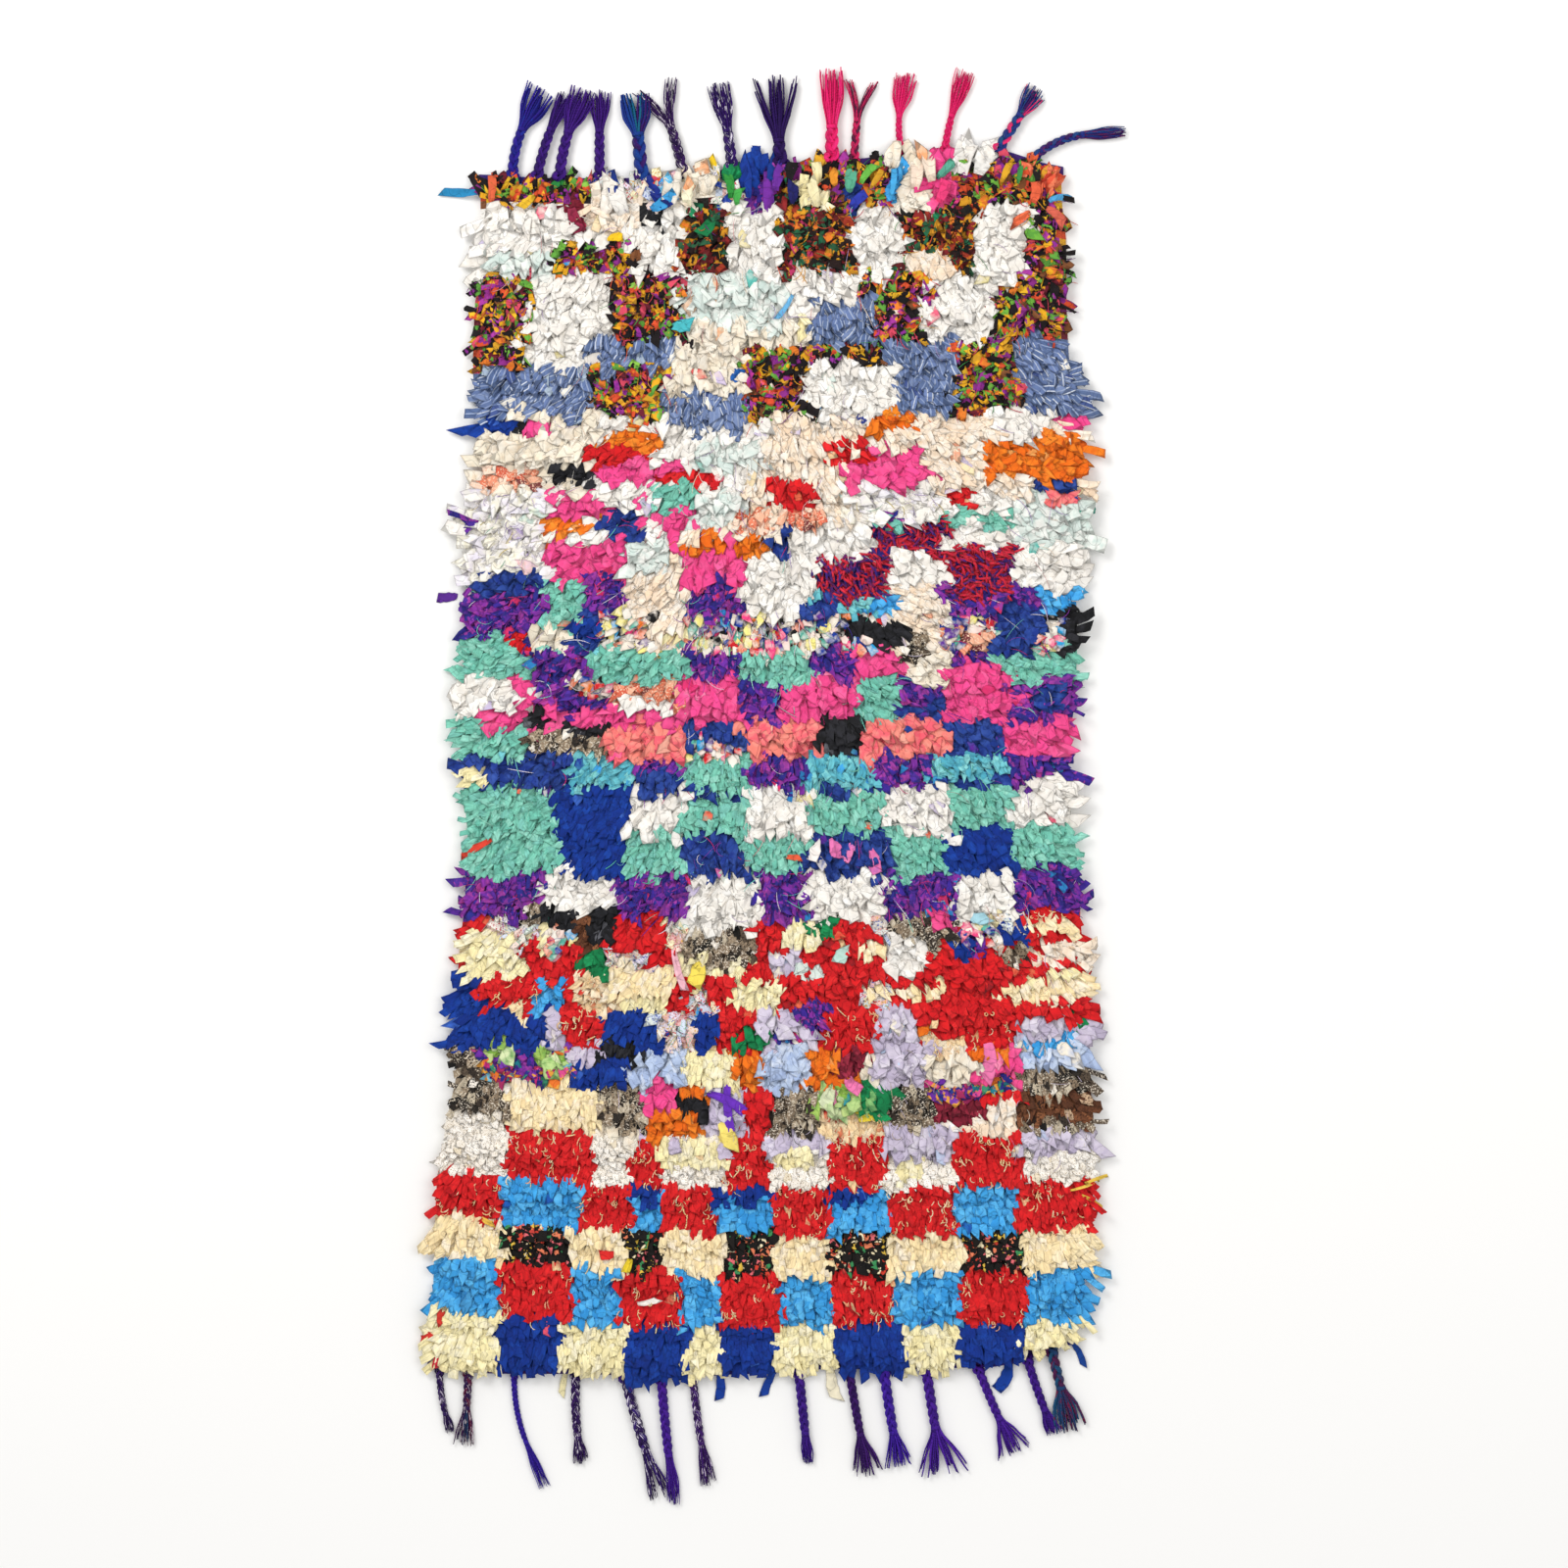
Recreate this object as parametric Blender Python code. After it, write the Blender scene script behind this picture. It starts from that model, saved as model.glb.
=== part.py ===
"""A boucherouite rug lying flat: a shaggy body of rag pile, and a woven band with tassels at each end.

Metres, +Z up. +X runs across the rug and +Y from its foot to its head. The origin is on the
underside of the body, in the middle.
"""

import math
import random
from typing import NamedTuple

import bmesh
import bpy
from mathutils import Vector, noise

# Driving dimensions
RUG_LENGTH = 1.98
RUG_WIDTH = 1.02
PILE_HEIGHT = 0.024
RIM_HEIGHT = 0.013
BAND_WIDTH = 0.014
BAND_THICKNESS = 0.004
SEAM_GAP = 0.00033

# The pile's lumps: its height follows the tufted rows, and falls away over the shoulder
COLUMNS = 32
ROWS = 58
SHOULDER = 0.045
ROW_RISE = 0.0032
LUMP_RISE = 0.0065
LUMP_SIZE = 0.055
LUMP_SHIFT = 0.007

# The locks of rag that stand out at the rim
SKIRT_HEIGHT = 0.005
SIDE_LOCK_SHARE = 0.78
END_LOCK_SHARE = 0.62
SIDE_LOCK_LENGTH = (0.008, 0.026)
END_LOCK_LENGTH = (0.010, 0.023)
LOCK_SLANT = math.radians(14)
LOCK_TIP_WIDTH = 0.42
LOCK_TIP_HEIGHT = 0.5
END_LOCK_FLOOR = 0.0053

# The tassels
PLAIT_HEIGHT = 0.010
PLAIT_SHARE = 0.64
PLAIT_STEP = 0.017
ROOT_LENGTH = 0.013
NECK_WIDTH = 0.78
HEAD_WIDTH = 1.35
WAIST = 0.10
STRAND_TIP_HEIGHT = 0.003
STRAND_TIP_WIDTH = 0.45
TAIL_THICKNESS = 0.003
TAIL_TIP_WIDTH = 0.8


class SideStation(NamedTuple):
    """How far the pile reaches past half the width, at a share of the length from the foot."""

    along: float
    left: float
    right: float


class EndStation(NamedTuple):
    """How far the bands reach past half the length, at a share of the half width from the middle."""

    across: float
    foot: float
    head: float


class LongLock(NamedTuple):
    """A rag that stands out well past its neighbours, on the left, -1, or right, 1."""

    side: int
    along: float
    length: float


class Tassel(NamedTuple):
    """A plait of warp ends with a loose head, or a rag tail where it has no strands.

    across is its root, metres right of the middle. lean is its heading there, in degrees to the
    right of straight out, and turn is what its heading gains by the tip.
    """

    across: float
    length: float
    lean: float
    turn: float
    width: float
    strands: int
    spread: float


SIDES = (
    SideStation(0.000, 0.046, -0.005),
    SideStation(0.045, 0.035, 0.030),
    SideStation(0.096, 0.033, 0.030),
    SideStation(0.146, 0.030, 0.035),
    SideStation(0.197, 0.016, 0.027),
    SideStation(0.247, -0.003, 0.025),
    SideStation(0.298, -0.002, 0.020),
    SideStation(0.348, -0.007, 0.010),
    SideStation(0.399, -0.017, 0.005),
    SideStation(0.449, -0.022, -0.007),
    SideStation(0.500, -0.015, -0.010),
    SideStation(0.551, -0.007, 0.002),
    SideStation(0.601, -0.015, 0.005),
    SideStation(0.652, -0.030, 0.002),
    SideStation(0.702, -0.020, 0.015),
    SideStation(0.753, -0.045, 0.012),
    SideStation(0.803, -0.045, 0.015),
    SideStation(0.854, -0.030, -0.010),
    SideStation(0.904, -0.032, -0.013),
    SideStation(0.955, -0.042, -0.013),
    SideStation(1.000, -0.042, -0.022),
)

ENDS = (
    EndStation(-1.00, -0.003, -0.027),
    EndStation(-0.75, 0.005, -0.033),
    EndStation(-0.50, 0.005, -0.033),
    EndStation(-0.25, 0.012, -0.024),
    EndStation(0.00, 0.005, -0.009),
    EndStation(0.25, -0.003, -0.003),
    EndStation(0.50, -0.003, 0.010),
    EndStation(0.75, -0.006, 0.015),
    EndStation(1.00, -0.043, -0.014),
)

LONG_LOCKS = (
    LongLock(-1, 0.972, 0.038),
    LongLock(-1, 0.895, 0.042),
    LongLock(-1, 0.632, 0.040),
    LongLock(-1, 0.318, 0.028),
    LongLock(1, 0.815, 0.026),
    LongLock(1, 0.712, 0.028),
    LongLock(1, 0.138, 0.030),
)

HEAD_TASSELS = (
    Tassel(-0.411, 0.150, 1, 22, 0.014, 3, 30),
    Tassel(-0.371, 0.142, 7, 9, 0.014, 3, 16),
    Tassel(-0.334, 0.146, 5, 8, 0.015, 3, 16),
    Tassel(-0.269, 0.140, 0, 0, 0.014, 3, 26),
    Tassel(-0.200, 0.138, -5, 0, 0.019, 3, 40),
    Tassel(-0.133, 0.144, -12, -2, 0.014, 3, 50),
    Tassel(-0.053, 0.135, -4, -8, 0.016, 2, 14),
    Tassel(0.026, 0.130, -4, 0, 0.024, 3, 80),
    Tassel(0.110, 0.145, 0, 0, 0.022, 3, 18),
    Tassel(0.146, 0.122, 5, 2, 0.012, 2, 20),
    Tassel(0.224, 0.132, -12, 25, 0.012, 3, 28),
    Tassel(0.294, 0.132, 8, 8, 0.013, 3, 14),
    Tassel(0.381, 0.122, 35, 0, 0.014, 3, 30),
    Tassel(0.437, 0.168, 52, 46, 0.013, 2, 10),
)

FOOT_TASSELS = (
    Tassel(-0.530, 0.104, 0, 14, 0.010, 2, 10),
    Tassel(-0.483, 0.118, -2, -2, 0.012, 3, 22),
    Tassel(-0.408, 0.190, 0, 25, 0.011, 2, 14),
    Tassel(-0.307, 0.145, -4, 10, 0.013, 3, 15),
    Tassel(-0.323, 0.036, -16, 0, 0.009, 0, 0),
    Tassel(-0.227, 0.204, 10, 2, 0.016, 2, 10),
    Tassel(-0.168, 0.204, 5, 2, 0.014, 3, 16),
    Tassel(-0.117, 0.175, 5, 3, 0.013, 3, 20),
    Tassel(-0.074, 0.040, 15, 0, 0.013, 0, 0),
    Tassel(0.018, 0.042, -34, -10, 0.012, 0, 0),
    Tassel(0.056, 0.150, 5, 0, 0.014, 2, 8),
    Tassel(0.108, 0.050, -3, 6, 0.017, 0, 0),
    Tassel(0.138, 0.175, 9, 2, 0.013, 3, 42),
    Tassel(0.195, 0.158, 7, 3, 0.015, 3, 36),
    Tassel(0.264, 0.172, 8, 2, 0.015, 4, 66),
    Tassel(0.349, 0.150, 20, 5, 0.013, 3, 50),
    Tassel(0.399, 0.046, 5, 0, 0.018, 0, 0),
    Tassel(0.429, 0.130, 17, 5, 0.013, 3, 22),
    Tassel(0.468, 0.138, 14, 0, 0.016, 4, 46),
    Tassel(0.500, 0.040, 46, 0, 0.010, 0, 0),
)


def clear_scene():
    for obj in list(bpy.data.objects):
        bpy.data.objects.remove(obj)


def cloth_material(name, colour, roughness):
    material = bpy.data.materials.new(name)
    material.use_nodes = True
    shader = material.node_tree.nodes["Principled BSDF"]
    shader.inputs["Base Color"].default_value = (*colour, 1)
    shader.inputs["Roughness"].default_value = roughness
    shader.inputs["Metallic"].default_value = 0
    return material


def add_object(name, bm, material):
    bmesh.ops.recalc_face_normals(bm, faces=bm.faces)
    mesh = bpy.data.meshes.new(name)
    bm.to_mesh(mesh)
    bm.free()
    mesh.materials.append(material)
    obj = bpy.data.objects.new(name, mesh)
    bpy.context.collection.objects.link(obj)
    return obj


def eased(share):
    share = min(max(share, 0), 1)
    return share * share * (3 - 2 * share)


def between(stations, key, column, place):
    """The column's value at a place between two stations, eased from one to the next."""
    lower = stations[0]
    for upper in stations[1:]:
        start, end = getattr(lower, key), getattr(upper, key)
        if place <= end:
            share = eased((place - start) / (end - start))
            return getattr(lower, column) * (1 - share) + getattr(upper, column) * share
        lower = upper
    return getattr(lower, column)


def body_end(side, across):
    """Where the body ends at the foot, -1, or head, 1: inside the band, with the seam's gap."""
    reach = between(ENDS, "across", "foot" if side < 0 else "head", across)
    return side * (RUG_LENGTH / 2 + reach - BAND_WIDTH - SEAM_GAP)


def body_point(across, along):
    """A place in the body's plan: across from -1, left, to 1, right; along from foot to head."""
    left = -RUG_WIDTH / 2 - between(SIDES, "along", "left", along)
    right = RUG_WIDTH / 2 + between(SIDES, "along", "right", along)
    foot, head = body_end(-1, across), body_end(1, across)
    return left + (right - left) * (across + 1) / 2, foot + (head - foot) * along


def pile_top(across, along, x, y):
    """The pile's height: rows of tufts that rise and fall, lumps between them, and a shoulder."""
    to_side = (1 - abs(across)) * RUG_WIDTH / 2
    to_end = min(along, 1 - along) * RUG_LENGTH
    full = eased(min(to_side, to_end) / SHOULDER)
    row = ROW_RISE if round(along * ROWS) % 2 else -ROW_RISE
    lump = LUMP_RISE * noise.noise(Vector((x, y, 0)) / LUMP_SIZE)
    return RIM_HEIGHT + full * (PILE_HEIGHT - RIM_HEIGHT + row + lump)


def bearing(face):
    """A face's bearing from the middle of the rug, which orders the rim's faces round it."""
    middle = face.calc_center_median()
    return math.atan2(middle.y, middle.x)


def skirt_down(bm, rim, height):
    """Extrudes the rim's edges down to a height, and returns the new rim and the wall's faces."""
    made = bmesh.ops.extrude_edge_only(bm, edges=rim)["geom"]
    for item in made:
        if isinstance(item, bmesh.types.BMVert):
            item.co.z = height
    faces = [item for item in made if isinstance(item, bmesh.types.BMFace)]
    new_rim = [
        item
        for item in made
        if isinstance(item, bmesh.types.BMEdge)
        and all(vert.co.z == item.verts[0].co.z for vert in item.verts)
        and len(item.link_faces) == 1
    ]
    return new_rim, sorted(faces, key=bearing)


def pull_lock(bm, face, length, slant, floor):
    """Pulls one wall face out into a tapered lock that lies level, its underside at the floor."""
    heading = math.atan2(face.normal.y, face.normal.x) + slant
    turned = Vector((math.cos(heading), math.sin(heading), 0))
    tip = bmesh.ops.extrude_discrete_faces(bm, faces=[face])["faces"][0]
    low = min(vert.co.z for vert in tip.verts)
    high = max(vert.co.z for vert in tip.verts)
    middle = tip.calc_center_median()
    for vert in tip.verts:
        is_top = vert.co.z > (low + high) / 2
        plan = middle + (vert.co - middle) * LOCK_TIP_WIDTH + turned * length
        height = floor + (high - low) * LOCK_TIP_HEIGHT * is_top
        vert.co = (plan.x, plan.y, height)


def add_rim_locks(bm, lower_wall, upper_wall, chance):
    """Rags at the sides lie on the floor, and those at the ends lie over the bands."""
    long_faces = {}
    for lock in LONG_LOCKS:
        target = Vector(body_point(lock.side, lock.along))
        nearest = min(lower_wall, key=lambda f: (f.calc_center_median().xy - target).length)
        long_faces[nearest] = lock.length
    for wall, on_end, share, lengths, floor in (
        (lower_wall, False, SIDE_LOCK_SHARE, SIDE_LOCK_LENGTH, 0.0),
        (upper_wall, True, END_LOCK_SHARE, END_LOCK_LENGTH, END_LOCK_FLOOR),
    ):
        for face in wall:
            faces_end = abs(face.normal.y) > abs(face.normal.x)
            length = long_faces.get(face, chance.uniform(*lengths))
            slant = chance.uniform(-LOCK_SLANT, LOCK_SLANT)
            wanted = chance.random() < share or face in long_faces
            corner = abs(abs(face.calc_center_median().y) - RUG_LENGTH / 2) < SHOULDER
            if faces_end == on_end and wanted and (on_end or not corner):
                pull_lock(bm, face, length, slant, floor)


def build_body(material):
    """The knotted ground and its pile, as one lumpy slab with a flat underside."""
    chance = random.Random(11)
    bm = bmesh.new()
    bmesh.ops.create_grid(bm, x_segments=COLUMNS, y_segments=ROWS, size=1)
    for vert in bm.verts:
        across, along = vert.co.x, (vert.co.y + 1) / 2
        x, y = body_point(across, along)
        top = pile_top(across, along, x, y)
        if not vert.is_boundary:
            x += chance.uniform(-LUMP_SHIFT, LUMP_SHIFT)
            y += chance.uniform(-LUMP_SHIFT, LUMP_SHIFT)
        vert.co = (x, y, top)
    rim = [edge for edge in bm.edges if edge.is_boundary]
    rim, upper_wall = skirt_down(bm, rim, SKIRT_HEIGHT)
    rim, lower_wall = skirt_down(bm, rim, 0)
    bmesh.ops.contextual_create(bm, geom=rim)
    bmesh.ops.recalc_face_normals(bm, faces=bm.faces)
    bm.normal_update()
    add_rim_locks(bm, lower_wall, upper_wall, chance)
    return add_object("rug_body", bm, material)


def band_outline(side, tassels):
    """The band's corners, along its seam to the body and back along its outer edge."""
    steps = [2 * step / COLUMNS - 1 for step in range(COLUMNS + 1)]
    seam, outer = [], []
    for across in steps:
        x = body_point(across, 0 if side < 0 else 1)[0]
        seam.append((x, body_end(side, across) + side * SEAM_GAP))
    for tassel in tassels:
        for edge in (-tassel.width / 2, tassel.width / 2):
            x = tassel.across + edge
            reach = between(ENDS, "across", "foot" if side < 0 else "head", x / (RUG_WIDTH / 2))
            outer.append((x, side * (RUG_LENGTH / 2 + reach)))
    outer.sort()
    left, right = seam[0], seam[-1]
    outer.insert(0, (left[0], left[1] + side * BAND_WIDTH))
    outer.append((right[0], right[1] + side * BAND_WIDTH))
    return seam + outer[::-1]


def place_ring(face, middle, heading, side, width, height):
    """Sets a four-cornered face square across a lock, its underside on the floor."""
    across = Vector((math.cos(heading), -side * math.sin(heading)))
    old_middle = face.calc_center_median()
    for vert in face.verts:
        is_right = (vert.co - old_middle).xy.dot(across) > 0
        is_top = vert.co.z > old_middle.z
        plan = middle + across * (width / 2 if is_right else -width / 2)
        vert.co = (plan.x, plan.y, height if is_top else 0)


def pull_along(bm, face, middle, heading, side, steps):
    """Extrudes a face through steps of (length, turn, width, height), and returns where it ends."""
    for length, turn, width, height in steps:
        heading += turn
        middle = middle + Vector((math.sin(heading), side * math.cos(heading))) * length
        face = bmesh.ops.extrude_discrete_faces(bm, faces=[face])["faces"][0]
        place_ring(face, middle, heading, side, width, height)
    return face, middle, heading


def plait_steps(tassel):
    """The plait's rings: a flat root, a waist at each crossing, and a tied neck."""
    length = tassel.length * PLAIT_SHARE - ROOT_LENGTH
    count = max(3, round(length / PLAIT_STEP))
    turn = math.radians(tassel.turn) / (count + 1)
    steps = [(ROOT_LENGTH, turn, tassel.width, BAND_THICKNESS)]
    for step in range(count):
        swell = WAIST if step % 2 else -WAIST
        last = step == count - 1
        width = tassel.width * (NECK_WIDTH if last else 1 + swell)
        height = PLAIT_HEIGHT * (NECK_WIDTH if last else 1 + swell)
        steps.append((length / count, turn, width, height))
    return steps


def part_face(bm, face, count):
    """Parts a four-cornered face into upright strips, side by side."""
    level = [e for e in face.edges if abs(e.verts[0].co.z - e.verts[1].co.z) < 1e-6]
    marked = set(bm.faces) - {face}
    bmesh.ops.subdivide_edges(bm, edges=level, cuts=count - 1, use_grid_fill=True)
    return [f for f in bm.faces if f not in marked]


def add_tassel(bm, root, tassel, side, chance):
    heading = math.radians(tassel.lean)
    middle = root.calc_center_median().xy
    if not tassel.strands:
        half, turn = tassel.length / 2, math.radians(tassel.turn) / 2
        tip_width = tassel.width * TAIL_TIP_WIDTH
        steps = ((half, turn, tassel.width, TAIL_THICKNESS), (half, turn, tip_width, TAIL_THICKNESS))
        pull_along(bm, root, middle, heading, side, steps)
        return
    face, middle, heading = pull_along(bm, root, middle, heading, side, plait_steps(tassel))
    head_length = tassel.length * (1 - PLAIT_SHARE)
    head_width = tassel.width * HEAD_WIDTH
    swell = [(head_length * 0.3, 0, head_width, PLAIT_HEIGHT)]
    face, middle, heading = pull_along(bm, face, middle, heading, side, swell)
    across = Vector((math.cos(heading), -side * math.sin(heading)))
    strips = part_face(bm, face, tassel.strands)
    strips.sort(key=lambda f: (f.calc_center_median().xy - middle).dot(across))
    strip_width = head_width / tassel.strands
    for place, strip in enumerate(strips):
        fan = place / (tassel.strands - 1) - 0.5
        turn = math.radians(tassel.spread) * fan / 2
        length = head_length * 0.7 * chance.uniform(0.8, 1.15) / 2
        steps = (
            (length, turn, strip_width * 0.85, PLAIT_HEIGHT * 0.7),
            (length, turn, strip_width * STRAND_TIP_WIDTH, STRAND_TIP_HEIGHT),
        )
        pull_along(bm, strip, strip.calc_center_median().xy, heading, side, steps)


def build_fringe(name, side, tassels, material, seed):
    """The woven band at one end, with its tassels and loose rags drawn out of its outer edge."""
    chance = random.Random(seed)
    bm = bmesh.new()
    outline = [bm.verts.new((x, y, 0)) for x, y in band_outline(side, tassels)]
    base = bm.faces.new(outline)
    made = bmesh.ops.extrude_face_region(bm, geom=[base], use_keep_orig=True)["geom"]
    raised = [item for item in made if isinstance(item, bmesh.types.BMVert)]
    bmesh.ops.translate(bm, verts=raised, vec=(0, 0, BAND_THICKNESS))
    walls = [face for face in bm.faces if len(face.verts) == 4]
    roots = []
    for tassel in tassels:
        place = Vector((tassel.across, side * (RUG_LENGTH / 2 + BAND_WIDTH)))
        roots.append(min(walls, key=lambda f: (f.calc_center_median().xy - place).length))
    for root, tassel in zip(roots, tassels):
        add_tassel(bm, root, tassel, side, chance)
    return add_object(name, bm, material)


def main():
    clear_scene()
    rag_pile = cloth_material("cotton_rag_pile", (0.62, 0.38, 0.42), 0.9)
    warp_yarn = cloth_material("purple_warp_yarn", (0.09, 0.03, 0.26), 0.85)
    build_body(rag_pile)
    build_fringe("fringe_head", 1, HEAD_TASSELS, warp_yarn, 21)
    build_fringe("fringe_foot", -1, FOOT_TASSELS, warp_yarn, 22)


main()
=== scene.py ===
"""The looks of a boucherouite rug, laid flat and seen from straight above.

The rug is knotted by hand: rows of cut rag and yarn on a woven ground, a flat band at each end and
plaited tassels of warp ends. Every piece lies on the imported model, which sets where the walls of the
rug are and how high its pile stands.
"""

import math
from typing import NamedTuple

import bmesh
import bpy
import numpy as np
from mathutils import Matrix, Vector, noise
from mathutils.bvhtree import BVHTree


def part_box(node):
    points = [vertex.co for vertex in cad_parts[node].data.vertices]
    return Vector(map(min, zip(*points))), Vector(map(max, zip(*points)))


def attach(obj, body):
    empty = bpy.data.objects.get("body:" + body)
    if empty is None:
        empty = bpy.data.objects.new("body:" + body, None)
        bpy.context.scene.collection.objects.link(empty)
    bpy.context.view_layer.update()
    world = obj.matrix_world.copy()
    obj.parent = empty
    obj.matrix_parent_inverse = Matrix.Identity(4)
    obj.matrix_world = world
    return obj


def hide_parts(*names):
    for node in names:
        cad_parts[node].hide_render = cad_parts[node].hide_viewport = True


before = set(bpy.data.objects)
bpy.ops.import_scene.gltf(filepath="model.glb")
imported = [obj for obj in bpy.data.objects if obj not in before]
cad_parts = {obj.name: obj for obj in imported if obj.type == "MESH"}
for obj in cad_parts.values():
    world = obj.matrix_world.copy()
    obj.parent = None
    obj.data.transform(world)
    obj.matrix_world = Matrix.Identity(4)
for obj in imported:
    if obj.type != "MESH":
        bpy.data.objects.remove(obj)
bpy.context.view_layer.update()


# The photograph's set-up: a camera straight above, a plain pale floor, and broad soft light from above
# the head of the rug, with a little more from its left.
FRAME_WIDTH = 2.56
FRAME_MIDDLE = (0.032, -0.032)
CAMERA_HEIGHT = 7.5
SENSOR_WIDTH = 36
FLOOR_SIZE = 14
FLOOR_DROP = 0.0008
FLOOR_COLOUR = "f4f3f1"
SKY_STRENGTH = 0.72
LAMP_PLACES = ((-2.6, 2.8, 3.6, 2.2, 125), (2.4, 0.6, 4.2, 3.0, 55))


def linear(code):
    """An sRGB hex value as linear red, green and blue."""
    parts = [int(code[i : i + 2], 16) / 255 for i in (0, 2, 4)]
    return [p / 12.92 if p <= 0.04045 else ((p + 0.055) / 1.055) ** 2.4 for p in parts]


def add_node(tree, kind, settings=None, links=None):
    """Adds a shader node, sets its fields and sockets, and links its sockets to other nodes or outputs."""
    node = tree.nodes.new("ShaderNode" + kind)
    for key, value in (settings or {}).items():
        if isinstance(key, int) or key in node.inputs:
            node.inputs[key].default_value = value
        else:
            setattr(node, key, value)
    for key, source in (links or {}).items():
        if isinstance(source, bpy.types.Node):
            source = next(output for output in source.outputs if output.enabled)
        tree.links.new(source, node.inputs[key])
    return node


def new_material(name, roughness):
    material = bpy.data.materials.new(name)
    material.use_nodes = True
    shader = material.node_tree.nodes["Principled BSDF"]
    shader.inputs["Roughness"].default_value = roughness
    shader.inputs["Metallic"].default_value = 0
    return material, material.node_tree, shader


def piece_from(bm, name, material):
    mesh = bpy.data.meshes.new(name)
    bm.to_mesh(mesh)
    bm.free()
    mesh.materials.append(material)
    piece = bpy.data.objects.new(name, mesh)
    bpy.context.collection.objects.link(piece)
    return piece


camera = bpy.data.objects.new("camera", bpy.data.cameras.new("camera"))
bpy.context.collection.objects.link(camera)
camera.data.sensor_width = SENSOR_WIDTH
camera.data.lens = SENSOR_WIDTH * CAMERA_HEIGHT / FRAME_WIDTH
camera.data.clip_end = 100
camera.location = (*FRAME_MIDDLE, CAMERA_HEIGHT)
bpy.context.scene.camera = camera

floor_paint, tree, shader = new_material("matt_pale_floor_paint", 0.9)
shader.inputs["Base Color"].default_value = (*linear(FLOOR_COLOUR), 1)
bm = bmesh.new()
bmesh.ops.create_grid(bm, x_segments=1, y_segments=1, size=FLOOR_SIZE / 2)
bmesh.ops.translate(bm, verts=bm.verts, vec=(0, 0, -FLOOR_DROP))
floor = piece_from(bm, "floor", floor_paint)

for number, (x, y, z, size, power) in enumerate(LAMP_PLACES):
    lamp = bpy.data.lights.new(f"softbox_{number}", "AREA")
    lamp.size = size
    lamp.energy = power
    softbox = bpy.data.objects.new(f"softbox_{number}", lamp)
    bpy.context.collection.objects.link(softbox)
    softbox.location = (x, y, z)
    softbox.rotation_euler = (-Vector((x, y, z))).to_track_quat("-Z", "Y").to_euler()

world = bpy.data.worlds.new("studio")
world.use_nodes = True
world.node_tree.nodes["Background"].inputs["Color"].default_value = (1, 1, 1, 1)
world.node_tree.nodes["Background"].inputs["Strength"].default_value = SKY_STRENGTH
bpy.context.scene.world = world
bpy.context.scene.view_settings.view_transform = "Standard"


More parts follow.
